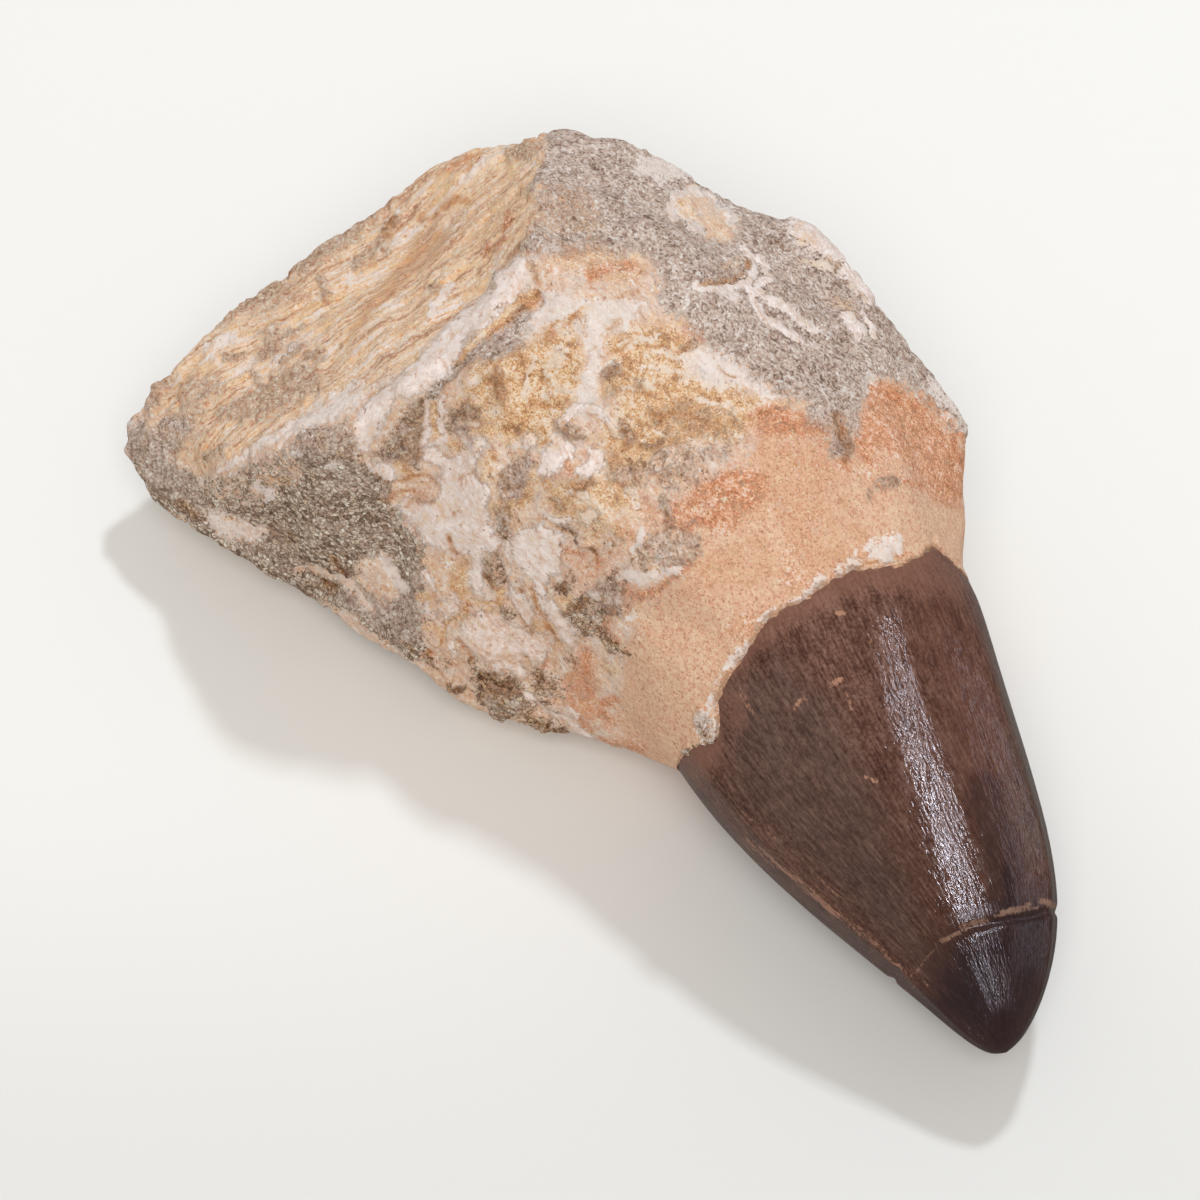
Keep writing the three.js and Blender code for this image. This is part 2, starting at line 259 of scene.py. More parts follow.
stoneMarks = {  # brush width (0 for an outline), how solid (-1 clears), then view places
    "sand": [
        (0, 1, (548, 130), (545, 150), (536, 172), (532, 185), (560, 182), (585, 190), (600, 215),
         (588, 235), (600, 246), (612, 256), (622, 256), (632, 247), (645, 252), (655, 263), (657, 275),
         (661, 284), (659, 300), (666, 311), (682, 317), (694, 327), (702, 337), (714, 347), (738, 362),
         (756, 379), (770, 382), (800, 401), (808, 404), (815, 412), (850, 412), (864, 398), (866, 384),
         (872, 376), (892, 378), (918, 390), (935, 405), (952, 422), (966, 438), (1000, 430), (960, 360),
         (900, 280), (840, 210), (740, 160), (640, 110)),
        (0, 0.15, (540, 185), (590, 190), (600, 245), (560, 256), (525, 250), (530, 215)),
        (16, 0.5, (552, 235), (578, 240)), (12, 0.5, (522, 246), (540, 238)),
        (0, 0.45, (805, 405), (860, 400), (858, 430), (850, 458), (832, 455), (828, 430), (810, 425)),
        (0, 0.5, (215, 320), (232, 312), (248, 298), (262, 286), (290, 276), (285, 294), (265, 310),
         (245, 312)), (13, 0.4, (302, 266), (330, 250), (350, 236), (370, 216), (388, 200)),
        (0, 0.2, (258, 345), (262, 330), (275, 322), (290, 335), (280, 350), (262, 356)),
        (8, 0.4, (226, 358), (242, 352)),
        (0, 0.25, (215, 412), (240, 400), (262, 388), (270, 378), (300, 365), (320, 368), (322, 385),
         (300, 400), (260, 418), (225, 418)), (8, 0.5, (280, 360), (304, 346)),
        (8, 0.4, (290, 333), (302, 326)), (7, 0.2, (306, 357), (322, 352)),
        (9, 0.2, (322, 279), (326, 296)), (11, 0.2, (356, 262), (370, 252), (382, 243)),
        (8, 0.4, (386, 232), (398, 218)),
        (0, 0.5, (508, 152), (520, 142), (540, 140), (545, 150), (525, 158), (510, 156)),
        (10, 0.5, (528, 190), (545, 174)), (6, 0.7, (495, 284), (506, 275)),
        (6, 0.5, (430, 287), (438, 281)), (10, 0.4, (205, 458), (225, 448)),
        (0, 0.4, (125, 440), (136, 420), (150, 425), (165, 415), (190, 405), (195, 430), (185, 445),
         (170, 460), (185, 468), (198, 482), (205, 500), (200, 525), (160, 510), (130, 480)),
        (0, 0.2, (185, 378), (215, 375), (222, 390), (208, 402), (195, 418), (180, 408), (178, 392)),
        (8, 0.3, (150, 410), (165, 380)), (6, 0.3, (255, 372), (262, 385)),
        (0, 1, (200, 482), (222, 500), (262, 502), (300, 480), (296, 450), (300, 432), (320, 424),
         (345, 421), (356, 434), (352, 450), (362, 460), (378, 474), (393, 488), (390, 500), (400, 514),
         (418, 534), (424, 552), (420, 600), (424, 640), (418, 662), (398, 652), (372, 632), (352, 616),
         (330, 604), (300, 594), (250, 572), (200, 540), (185, 515)),
        (0, 0, (200, 480), (225, 476), (262, 462), (298, 440), (300, 482), (262, 502), (222, 500)),
        (0, -1, (203, 512), (222, 512), (250, 520), (264, 530), (262, 542), (240, 542), (215, 535)),
        (9, -1, (300, 568), (322, 573), (346, 582), (362, 600), (372, 610)),
        (0, -1, (358, 560), (380, 552), (394, 565), (406, 588), (402, 599), (390, 603), (372, 592),
         (354, 580)),
        (0, 0.5, (520, 303), (533, 312), (530, 325), (520, 345), (512, 352), (500, 358), (485, 362),
         (472, 352), (480, 345), (495, 335), (508, 322)),
        (11, 0.9, (478, 352), (455, 372), (440, 385), (432, 395)), (10, 0.4, (497, 372), (500, 398)),
        (11, 0.4, (622, 424), (630, 438)), (11, 0.6, (607, 374), (618, 366)),
        (8, 0.6, (684, 346), (694, 342)), (12, 0.3, (560, 424), (580, 436)),
        (14, 0.4, (700, 720), (712, 735)), (10, 0.7, (686, 752), (712, 748)),
        (8, 0.5, (930, 552), (934, 562)), (10, 0.1, (872, 495), (882, 482), (894, 480)),
        (0, 0.15, (446, 430), (450, 413), (462, 404), (479, 409), (479, 420), (465, 424), (470, 436)),
        (0, 0.3, (504, 471), (515, 460), (529, 456), (535, 462), (525, 475), (525, 496), (512, 503),
         (503, 500), (499, 482)),
        (0, 0.3, (494, 508), (509, 505), (513, 520), (509, 541), (500, 537), (495, 526)),
        (0, 0.05, (485, 560), (492, 553), (499, 562), (501, 588), (492, 590), (486, 578)),
        (8, 0.3, (503, 611), (510, 620)),
        (0, 0.3, (547, 578), (558, 583), (568, 575), (571, 590), (563, 597), (553, 592)),
        (0, 0.2, (570, 605), (588, 592), (600, 582), (615, 573), (621, 582), (625, 600), (620, 618),
         (600, 614), (600, 628), (612, 640), (627, 656), (612, 653), (600, 641), (592, 632), (580, 639),
         (570, 623), (564, 613)),
        (0, 0, (638, 553), (650, 537), (668, 528), (690, 535), (702, 548), (690, 561), (668, 567),
         (655, 560), (645, 567), (635, 561)),
        (0, -0.05, (655, 447), (690, 444), (705, 455), (698, 480), (680, 490), (664, 486), (650, 470)),
        (0, -0.1, (612, 462), (640, 458), (645, 480), (625, 486), (612, 480)),
        (11, 0.4, (622, 424), (631, 439)), (4, 0.4, (632, 440), (648, 446), (660, 440)),
        (0, 0.6, (470, 663), (484, 672), (498, 674), (512, 682), (527, 690), (521, 694), (536, 707),
         (520, 716), (500, 723), (488, 713), (478, 700), (475, 685)),
        (0, 0.4, (518, 704), (540, 717), (564, 729), (558, 739), (535, 729), (518, 717)),
        (0, 0.1, (529, 673), (536, 666), (548, 674), (561, 690), (559, 699), (545, 696), (532, 690)),
        (9, 0.6, (452, 687), (462, 688)), (5, -0.05, (540, 700), (556, 712)),
        (11, 0.3, (562, 424), (580, 435)), (8, 0.3, (664, 500), (668, 520)),
        (8, -0.1, (425, 660), (445, 668)), (7, -0.1, (566, 655), (576, 664)),
        (7, -0.05, (564, 508), (554, 500)), (8, -0.1, (580, 488), (590, 482)),
        (8, -0.1, (604, 545), (618, 540)), (6, 0.1, (560, 528), (575, 535)),
        (6, -0.05, (578, 545), (594, 553)),
        (0, 0.4, (372, 456), (385, 445), (398, 426), (412, 404), (424, 396), (425, 412), (420, 450),
         (416, 467), (398, 463), (385, 460)),
        (0, -1, (667, 205), (672, 197), (682, 192), (690, 190), (705, 194), (718, 202), (730, 212),
         (739, 223), (739, 234), (728, 243), (712, 244), (702, 239), (696, 231), (685, 227), (676, 223),
         (668, 214)),
        (0, -0.12, (650, 408), (690, 402), (735, 417), (745, 435), (720, 458), (680, 440), (655, 425)),
        (9, -0.1, (610, 392), (640, 380)), (8, -0.15, (700, 372), (716, 380)),
    ],
    "chalk": [
        (0, 0.9, (360, 388), (362, 402), (345, 414), (320, 421), (300, 431), (280, 437), (262, 447),
         (245, 457), (228, 466), (212, 476), (225, 461), (245, 448), (262, 437), (282, 427), (300, 415),
         (318, 403), (340, 391)), (6, 0.7, (535, 357), (528, 372), (522, 394)),
        (7, 0.6, (544, 370), (546, 374)),
        (0, 0.8, (538, 290), (560, 290), (580, 300), (575, 315), (555, 322), (540, 327), (530, 337),
         (522, 330), (535, 310)),
        (0, 0.7, (585, 300), (620, 295), (650, 303), (640, 318), (615, 320), (605, 335), (600, 360),
         (598, 380), (595, 400), (590, 410), (575, 405), (582, 385), (587, 360), (583, 330)),
        (0, 0.6, (655, 350), (680, 352), (690, 345), (700, 345), (715, 345), (740, 362), (758, 380),
         (790, 398), (770, 398), (740, 385), (722, 388), (705, 388), (695, 380), (680, 382), (690, 370),
         (672, 360)), (9, 0.9, (600, 409), (611, 420), (617, 432)), (14, 0.4, (556, 362), (560, 350)),
        (0, 0.45, (640, 158), (660, 156), (685, 166), (702, 184), (672, 186), (650, 182), (632, 176)),
        (8, 0.6, (846, 317), (862, 332)), (5, 0.6, (862, 315), (872, 332)),
        (7, 0.4, (812, 262), (830, 272)),
        (0, 0.7, (860, 364), (868, 370), (877, 378), (868, 388), (862, 386), (864, 376)),
        (0, 0.2, (922, 378), (945, 392), (962, 408), (972, 432), (957, 432), (946, 415), (932, 396)),
        (4, 0.9, (917, 392), (919, 398)),
        (0, 0.25, (862, 549), (875, 540), (895, 532), (908, 538), (904, 553), (888, 563), (870, 560)),
        (0, 0.5, (828, 566), (845, 562), (856, 554), (866, 558), (858, 572), (838, 575)),
        (0, 0.4, (804, 590), (814, 575), (828, 573), (826, 584), (812, 596), (798, 606)),
        (12, 0.1, (752, 646), (735, 660), (722, 676), (714, 694), (710, 716)),
        (20, 0.1, (703, 722), (710, 742)), (5, 0, (795, 602), (775, 610), (760, 622)),
        (4, 0.5, (379, 233), (388, 222), (398, 210)), (8, 0.5, (368, 463), (392, 476)),
        (0, 0.2, (203, 512), (222, 512), (250, 520), (264, 530), (262, 542), (240, 542), (215, 535)),
        (10, 0.5, (382, 556), (396, 575), (404, 592)), (9, 0.5, (255, 486), (270, 496)),
        (6, 0.7, (331, 463), (336, 461)), (6, 1, (568, 708), (578, 718)),
        (0, 0.9, (618, 573), (630, 566), (645, 570), (658, 577), (650, 586), (646, 590), (634, 586),
         (622, 582)), (7, 0.5, (664, 571), (680, 569)), (7, 0.8, (640, 528), (638, 545), (631, 550)),
        (7, 0.5, (590, 592), (598, 598)), (5, 0.8, (625, 619), (631, 619)),
        (9, 0.2, (566, 640), (572, 634)), (6, 0.6, (430, 446), (444, 440)),
        (8, 0.2, (470, 458), (478, 442)), (6, 0.7, (496, 522), (498, 530)),
        (4, 0.1, (262, 371), (302, 345)), (4, 0.5, (789, 235), (787, 226), (800, 218), (816, 226)),
        (3, 0.5, (845, 282), (858, 300), (872, 306)),
        (9, 0.8, (700, 232), (688, 228), (675, 218), (669, 206), (675, 196), (690, 192), (706, 196),
         (722, 207), (734, 220)), (7, 0.3, (625, 345), (662, 334)), (6, 0.3, (640, 366), (700, 376)),
        (7, 0.2, (622, 390), (655, 383)), (8, 0.4, (606, 330), (628, 324)),
        (7, 0.2, (700, 400), (730, 404)), (6, 0.2, (490, 360), (510, 352)),
        (6, 0.3, (470, 385), (482, 378)), (7, 0.2, (545, 395), (566, 384)),
        (9, 0.3, (205, 350), (232, 337)), (7, 0.3, (462, 176), (485, 157)),
        (9, 0.3, (448, 284), (436, 300), (430, 314)), (7, 0.1, (395, 345), (425, 322)),
        (8, 0.2, (330, 395), (356, 380)),
    ],
    "shell": [
        (0, 0.5, (786, 226), (800, 216), (818, 228), (838, 250), (845, 266), (825, 264), (805, 255),
         (794, 245), (789, 235)),
        (0, 0.5, (838, 262), (855, 272), (875, 295), (873, 307), (860, 303), (848, 286), (836, 275)),
        (0, 1, (424, 462), (423, 452), (432, 444), (446, 458), (460, 452), (478, 434), (487, 440),
         (477, 458), (471, 472), (487, 488), (490, 500), (486, 515), (492, 535), (500, 545), (494, 560),
         (483, 552), (481, 603), (472, 600), (468, 575), (470, 560), (458, 555), (444, 556), (432, 548),
         (418, 536), (403, 516), (395, 505), (402, 499), (430, 502), (438, 492), (433, 482), (441, 472)),
        (7, 0.6, (428, 404), (425, 442)), (7, 0.6, (443, 400), (440, 432)),
        (10, 0.4, (384, 468), (392, 480)), (7, 0.7, (467, 423), (476, 424)),
        (0, 0.6, (520, 432), (531, 430), (535, 440), (527, 456), (519, 449)),
        (9, 0.8, (562, 422), (576, 406), (600, 411), (617, 434)),
        (0, 1, (556, 427), (564, 433), (573, 443), (574, 455), (562, 459), (560, 475), (548, 479),
         (535, 476), (537, 460), (546, 444)),
        (0, 0.9, (592, 445), (601, 452), (608, 461), (598, 468), (590, 479), (582, 479), (576, 470),
         (585, 462)), (8, 0.3, (572, 492), (584, 497)),
        (0, 1, (578, 512), (590, 508), (599, 516), (596, 527), (582, 526)),
        (8, 0.8, (627, 488), (634, 492)), (4, 0.8, (548, 519), (562, 524), (577, 521)),
        (0, 0.7, (520, 530), (540, 527), (562, 536), (560, 560), (557, 575), (548, 578), (545, 594),
         (536, 599), (530, 592), (532, 580), (522, 575), (512, 560), (508, 545)),
        (0, 0.7, (505, 577), (514, 588), (528, 600), (533, 615), (531, 632), (522, 623), (512, 608),
         (504, 595)),
        (0, 0.8, (458, 622), (470, 614), (498, 614), (504, 626), (513, 625), (530, 634), (546, 636),
         (552, 641), (546, 655), (538, 668), (527, 658), (522, 655), (526, 678), (521, 685), (506, 673),
         (490, 672), (478, 664), (468, 655), (460, 640)),
        (0, 0.5, (439, 601), (458, 602), (458, 614), (446, 621), (438, 616)),
        (6, 0.5, (423, 571), (434, 592)), (9, 0.3, (424, 606), (432, 618)),
        (8, 0.4, (449, 630), (452, 655)),
        (0, 0.6, (538, 600), (553, 600), (560, 614), (570, 628), (577, 645), (570, 653), (560, 645),
         (552, 630), (545, 618)), (5, 0.6, (559, 664), (562, 676)),
        (6, 0.7, (520, 693), (545, 710), (572, 724)), (6, 0.5, (570, 722), (592, 744)),
        (6, 0.5, (506, 545), (506, 572)),
        (0, 0.7, (506, 268), (518, 257), (531, 261), (536, 276), (529, 290), (516, 297), (500, 309),
         (483, 325), (466, 338), (462, 352), (446, 378), (428, 390), (412, 398), (396, 396), (384, 420),
         (374, 440), (366, 454), (356, 448), (350, 425), (366, 400), (380, 386), (402, 372), (418, 360),
         (434, 343), (445, 325), (462, 312), (480, 300), (495, 285)),
        (8, 1, (742, 249), (752, 262), (752, 275), (744, 285), (728, 290), (706, 292), (694, 287)),
        (9, 1, (758, 257), (764, 270), (770, 279), (757, 286)),
        (8, 1, (746, 288), (753, 302), (766, 318), (782, 331), (800, 342)),
        (8, 1, (757, 292), (768, 301), (782, 306), (796, 318), (814, 334)),
        (12, 0.8, (727, 294), (736, 302)), (8, 0.6, (842, 318), (852, 330), (858, 338)),
        (6, 0.6, (862, 312), (874, 338)),
    ],
    "ochre": [
        (8, 1, (193, 370), (215, 367)), (8, 0.8, (178, 398), (182, 388)), (6, 0.5, (232, 350), (245, 347)),
        (14, 0.6, (365, 268), (372, 262)), (13, 0.7, (305, 308), (342, 290)),
        (8, 0.5, (310, 330), (330, 321)), (5, 1, (403, 361), (416, 357)), (4, 1, (388, 373), (402, 366)),
        (4, 1, (365, 396), (388, 384)), (14, 0.5, (455, 270), (482, 255)),
        (10, 0.4, (470, 292), (486, 282)), (22, 0.7, (440, 173), (476, 154)),
        (16, 0.6, (498, 172), (515, 165)), (12, 0.8, (428, 188), (446, 181)),
        (9, 0.5, (430, 282), (462, 276)), (30, 0.3, (470, 235), (520, 200)),
        (24, 0.3, (420, 330), (400, 340)), (20, 0.3, (160, 430), (180, 440)),
        (11, 1, (538, 293), (520, 300), (500, 318), (480, 336), (465, 352), (459, 365)),
        (0, 0.9, (462, 392), (470, 375), (482, 362), (500, 360), (525, 345), (545, 335), (575, 335),
         (582, 350), (583, 375), (575, 400), (560, 420), (552, 440), (540, 446), (520, 440), (505, 445),
         (490, 430), (480, 405)),
        (0, 0.5, (605, 340), (640, 325), (665, 322), (690, 330), (700, 345), (690, 365), (720, 390),
         (760, 395), (780, 400), (800, 405), (760, 420), (740, 440), (700, 440), (660, 450), (640, 470),
         (620, 460), (600, 450), (600, 425), (625, 400), (600, 395), (598, 380), (620, 370)),
        (9, 0.7, (566, 318), (586, 308)), (6, 0.8, (546, 332), (556, 320)),
        (16, 0.3, (720, 385), (740, 390)),
        (0, 0.3, (300, 440), (330, 420), (356, 420), (360, 440), (345, 460), (320, 450)),
        (7, 0.5, (225, 519), (240, 522)), (6, 0.6, (265, 480), (290, 484)),
        (10, 0.5, (822, 266), (834, 274)), (12, 0.5, (832, 300), (850, 312)),
        (5, 0.6, (800, 240), (812, 250)), (5, 0.6, (846, 285), (866, 305)),
        (0, 0.25, (540, 185), (590, 190), (600, 230), (560, 240), (530, 225)),
        (0, 0.9, (448, 592), (449, 575), (456, 565), (464, 557), (471, 562), (468, 575), (471, 599),
         (460, 601), (452, 596)), (9, 0.9, (421, 597), (433, 598)), (8, 0.9, (467, 603), (463, 617)),
        (5, 0.7, (470, 605), (498, 606)), (6, 0.6, (486, 613), (496, 616)),
        (6, 0.6, (458, 617), (448, 622), (441, 632), (440, 642)), (4, 0.5, (426, 606), (431, 613)),
        (9, 0.2, (426, 627), (438, 634)), (7, 0.6, (435, 408), (434, 440)),
        (9, 0.4, (449, 444), (464, 450)), (12, 0.3, (491, 455), (486, 476)),
        (0, 0.5, (488, 506), (500, 500), (514, 494), (524, 480), (528, 464), (536, 468), (532, 500),
         (517, 520), (512, 530), (504, 520), (490, 518)), (8, 1, (439, 519), (443, 515)),
        (5, 0.6, (446, 506), (457, 503)), (10, 1, (542, 481), (549, 487)),
        (0, 0.8, (581, 530), (598, 526), (599, 540), (592, 548), (583, 546)),
        (0, 0.6, (554, 596), (572, 594), (575, 606), (566, 615), (556, 609)),
        (7, 0.6, (498, 590), (500, 606)), (5, 0.3, (532, 594), (540, 614)),
        (9, 0.2, (534, 628), (547, 630)),
        (0, 0.35, (560, 480), (600, 478), (640, 480), (636, 500), (610, 515), (600, 540), (560, 520),
         (545, 505), (548, 490)), (14, 0.2, (616, 528), (628, 535)),
        (0, 0.3, (455, 400), (480, 400), (520, 408), (535, 432), (515, 432), (490, 440), (470, 432),
         (455, 420)), (12, 0.2, (610, 672), (600, 665)),
        (0, 0.4, (600, 452), (640, 446), (655, 450), (640, 462), (612, 472), (600, 462)),
        (10, 0.2, (636, 608), (645, 600)), (8, 0.3, (424, 560), (432, 568)),
        (0, 0.2, (560, 240), (610, 240), (640, 256), (650, 270), (630, 282), (600, 275), (570, 268),
         (552, 262)), (16, 0.2, (575, 225), (600, 232)),
        (0, 0.6, (395, 462), (400, 440), (412, 404), (426, 394), (426, 420), (420, 452), (410, 475),
         (396, 466)), (8, 0.8, (399, 468), (408, 475)),
        (9, 0.8, (743, 262), (744, 272), (735, 281), (718, 285), (703, 286)),
        (12, 0.4, (720, 272), (738, 262)), (10, 0.6, (800, 262), (836, 268)),
        (12, 0.5, (826, 300), (846, 304), (852, 316)), (7, 0.7, (680, 206), (690, 212)),
        (9, -0.05, (680, 206), (690, 214)), (12, -0.1, (708, 222), (726, 232)),
        (36, 0.2, (445, 195), (500, 168)),
    ],
    "rust": [
        (14, 1, (590, 276), (606, 266), (632, 262)), (10, 0.8, (560, 245), (575, 252)),
        (6, 0.9, (545, 276), (550, 273)), (6, 0.9, (592, 285), (597, 286)),
        (12, 0.3, (685, 328), (700, 338)),
        (0, 0.05, (748, 420), (760, 402), (775, 402), (800, 408), (815, 412), (830, 420), (855, 415),
         (862, 400), (868, 385), (880, 378), (892, 380), (915, 392), (935, 405), (950, 425), (962, 438),
         (975, 470), (972, 505), (958, 512), (935, 500), (905, 470), (880, 470), (860, 470), (840, 480),
         (800, 490), (780, 510), (750, 518), (720, 526), (690, 535), (660, 522), (670, 500), (700, 488),
         (720, 470)), (9, 1, (868, 388), (882, 382), (895, 394)), (14, 0.9, (945, 480), (962, 495)),
        (12, 0.9, (760, 408), (800, 414)), (11, 1, (856, 436), (862, 456)),
        (18, 0.8, (770, 430), (800, 424)), (14, 0.9, (735, 500), (755, 508)),
        (22, 0.8, (700, 488), (735, 475)), (26, 0.8, (955, 450), (966, 480)),
        (24, 0.7, (700, 520), (725, 522)), (10, 0.7, (845, 460), (850, 470)),
        (36, 0.1, (812, 470), (800, 580)), (20, 0.1, (735, 630), (765, 618)),
        (12, 0.5, (508, 212), (500, 240), (482, 248)), (14, 0.2, (452, 165), (476, 155)),
        (8, 0.2, (640, 172), (655, 174)), (6, 0.9, (900, 556), (912, 553)),
        (14, 0.4, (600, 745), (640, 752)),
        (0, 0.1, (560, 548), (580, 544), (600, 549), (620, 553), (616, 568), (600, 578), (590, 580),
         (586, 592), (575, 592), (575, 575), (562, 578), (556, 568)),
        (0, 1, (620, 582), (646, 592), (644, 601), (631, 607), (627, 616), (619, 606)),
        (10, 0.8, (651, 597), (660, 587), (669, 580)),
        (0, 0.4, (574, 652), (585, 647), (593, 658), (595, 675), (593, 695), (598, 712), (590, 730),
         (580, 722), (574, 705), (562, 690), (561, 678), (572, 665)),
        (11, 0.9, (584, 654), (583, 680), (590, 700)), (12, 0.7, (600, 706), (615, 702)),
        (14, 0.8, (598, 716), (612, 724)), (5, 0.8, (547, 640), (542, 668)),
        (0, 0.3, (408, 492), (424, 487), (430, 498), (421, 507), (409, 503)),
        (0, 0.2, (640, 495), (660, 500), (664, 520), (650, 535), (638, 520)),
        (10, 0.3, (613, 608), (603, 624), (615, 642)), (8, 0.6, (560, 552), (580, 556)),
        (9, 0.5, (592, 575), (600, 560)), (8, 0.5, (684, 556), (694, 566)),
        (10, 0.4, (568, 700), (588, 732)), (12, 0.2, (545, 478), (566, 470)),
        (10, 0.5, (566, 462), (570, 472)), (8, 0.4, (584, 452), (588, 458)),
        (20, 0.1, (625, 530), (625, 545)), (12, 0.1, (636, 622), (634, 640)),
        (8, 0.3, (468, 648), (462, 640)), (6, 0.4, (428, 650), (430, 655)), (10, 0, (450, 545), (456, 553)),
        (0, -0.15, (585, 240), (600, 243), (610, 256), (630, 258), (640, 254), (650, 262), (655, 275),
         (640, 287), (610, 284), (580, 292), (550, 287), (538, 270), (560, 255)),
        (12, 1, (752, 416), (775, 408), (800, 416)), (14, 1, (700, 500), (730, 484), (752, 474)),
        (14, 1, (880, 386), (900, 398), (925, 412)), (16, 1, (668, 520), (690, 530), (700, 520)),
        (10, 1, (660, 590), (672, 578), (690, 562)), (12, 0.9, (640, 598), (656, 592)),
        (0, 0.55, (868, 385), (880, 378), (915, 392), (950, 425), (975, 470), (972, 505), (958, 512),
         (935, 500), (905, 465), (880, 450), (860, 470), (855, 430)),
        (0, 0.5, (660, 522), (670, 500), (700, 482), (740, 462), (775, 470), (770, 500), (750, 518),
         (720, 526), (690, 535)),
        (0, 0.55, (748, 420), (760, 402), (775, 402), (800, 408), (830, 420), (850, 415), (850, 436),
         (800, 438), (760, 440)), (22, 1, (955, 440), (966, 490)), (24, 1, (890, 392), (925, 408)),
        (20, 1, (690, 505), (735, 490)), (18, 0.9, (765, 418), (800, 420)),
        (14, 0.9, (862, 440), (868, 462)), (12, 0.8, (905, 480), (940, 492)),
        (30, -0.15, (465, 225), (520, 185)),
    ],
    "peach": [
        (0, 1, (1000, 380), (950, 390), (880, 378), (866, 400), (850, 450), (800, 405), (768, 420),
         (745, 470), (715, 500), (700, 530), (692, 550), (682, 576), (665, 588), (650, 602), (640, 618),
         (628, 640), (622, 660), (620, 690), (616, 720), (620, 765), (700, 820), (735, 700), (790, 620),
         (880, 570), (1010, 600)),
    ],
    # brown stains, with painted shade along crevices and undercuts
    "brown": [
        (0, 0.1, (345, 335), (360, 310), (375, 290), (395, 262), (415, 236), (432, 228), (446, 235),
         (440, 250), (420, 265), (400, 285), (380, 300), (365, 320)), (7, 0.3, (420, 219), (432, 212)),
        (7, 0.2, (440, 205), (455, 196), (468, 200)), (9, 0.3, (384, 234), (396, 222)),
        (6, 1, (532, 299), (515, 312), (500, 325), (488, 337)), (14, 0.1, (275, 530), (292, 538)),
        (9, 0.9, (332, 558), (346, 572)), (9, 0.8, (322, 584), (330, 592)),
        (8, 0.1, (180, 502), (198, 513)), (4, 0.3, (378, 499), (398, 496), (412, 490)),
        (6, 0.4, (653, 412), (661, 420)), (4, 0.3, (662, 415), (690, 412), (702, 418)),
        (3, 0.8, (765, 470), (778, 490)), (2.5, 0.9, (932, 498), (950, 503), (962, 512)),
        (2.5, 0.5, (948, 480), (958, 494)), (3, 0.5, (785, 450), (798, 470)),
        (0, 0.6, (918, 562), (930, 546), (940, 548), (945, 562), (932, 568)),
        (3, 0.7, (838, 560), (848, 556), (860, 558)), (4, 0.5, (865, 562), (900, 565)),
        (10, 0.3, (635, 385), (650, 392)), (9, 0.4, (611, 328), (619, 322)),
        (5, 0.9, (622, 333), (630, 337)), (4, 0.9, (588, 351), (595, 346)),
        (5, 0.9, (609, 354), (622, 348), (632, 340)), (5, 0.6, (648, 345), (662, 346)),
        (4, 0.9, (640, 358), (642, 352)), (3, 0.9, (566, 407), (570, 404)),
        (3, 0.9, (590, 386), (591, 388)), (3, 0.8, (702, 348), (707, 353)),
        (3, 0.8, (712, 352), (714, 358)), (3.5, 0.8, (718, 367), (727, 371), (736, 376)),
        (9, 0.1, (505, 408), (515, 415)), (8, 0.15, (530, 400), (546, 405)),
        (9, 0.2, (546, 338), (552, 334)), (6, 0.3, (700, 287), (725, 285), (742, 276), (747, 262)),
        (5, 0.1, (640, 290), (620, 294)), (6, 0.3, (530, 262), (538, 285)),
        (5, 0.2, (588, 262), (594, 278)), (4, 0.7, (533, 266), (536, 264)),
        (5, 0.4, (578, 310), (566, 322)), (10, 0.1, (840, 420), (850, 450)),
        (4, 0.5, (379, 477), (388, 484), (397, 487), (404, 483), (412, 477), (421, 475), (430, 479)),
        (5, 0.5, (378, 500), (390, 500), (398, 495), (413, 491)), (7, 0.1, (414, 480), (430, 482)),
        (5, 0.9, (456, 484), (466, 483)), (4, 0.8, (454, 478), (462, 475), (469, 472)),
        (7, 0.9, (450, 539), (450, 549), (458, 555)), (4, 0.6, (440, 558), (444, 554)),
        (3, 0.6, (453, 491), (455, 490)), (3, 0.5, (439, 478), (442, 480)),
        (5, 0.2, (410, 503), (430, 503)), (4, 0.6, (402, 507), (408, 507)),
        (3, 0.6, (458, 528), (461, 524)), (3, 0.6, (445, 535), (448, 535)),
        (3, 0.6, (432, 532), (433, 533)), (5, 0.4, (453, 515), (458, 512)),
        (0, 0.2, (449, 590), (449, 577), (454, 567), (462, 560), (466, 566), (458, 575), (455, 588)),
        (4, 0.8, (510, 605), (520, 618), (532, 634)),
        (5, 0.5, (528, 590), (534, 604), (541, 620), (549, 636), (557, 647)),
        (4, 0.7, (525, 657), (538, 671)), (4, 1, (500, 662), (507, 669)), (4, 1, (496, 639), (497, 640)),
        (6, 0.7, (457, 640), (463, 652), (472, 663)),
        (0, 0.4, (470, 663), (484, 672), (498, 674), (512, 682), (527, 690), (520, 700), (500, 705),
         (478, 695)), (6, 0.7, (480, 678), (512, 690), (500, 704)),
        (0, 0.4, (518, 704), (540, 717), (564, 729), (558, 739), (535, 729), (518, 717)),
        (0, 0.2, (529, 673), (536, 666), (548, 674), (561, 690), (559, 699), (545, 696), (532, 690)),
        (5, 1, (600, 630), (612, 643), (625, 653)),
        (0, 0.5, (547, 578), (558, 583), (568, 575), (571, 590), (563, 597), (553, 592)),
        (9, 0.6, (452, 687), (462, 688)), (10, 0.3, (576, 608), (590, 604)),
        (3, 0.8, (496, 554), (492, 560)), (3, 0.9, (504, 556), (508, 568)),
        (3, 0.8, (498, 548), (494, 554)), (5, 0.5, (486, 576), (496, 588)),
        (4, 0.5, (516, 588), (521, 592)), (4, 0.5, (498, 600), (501, 610)),
        (3, 0.8, (528, 524), (536, 522), (545, 520), (553, 526), (562, 533)),
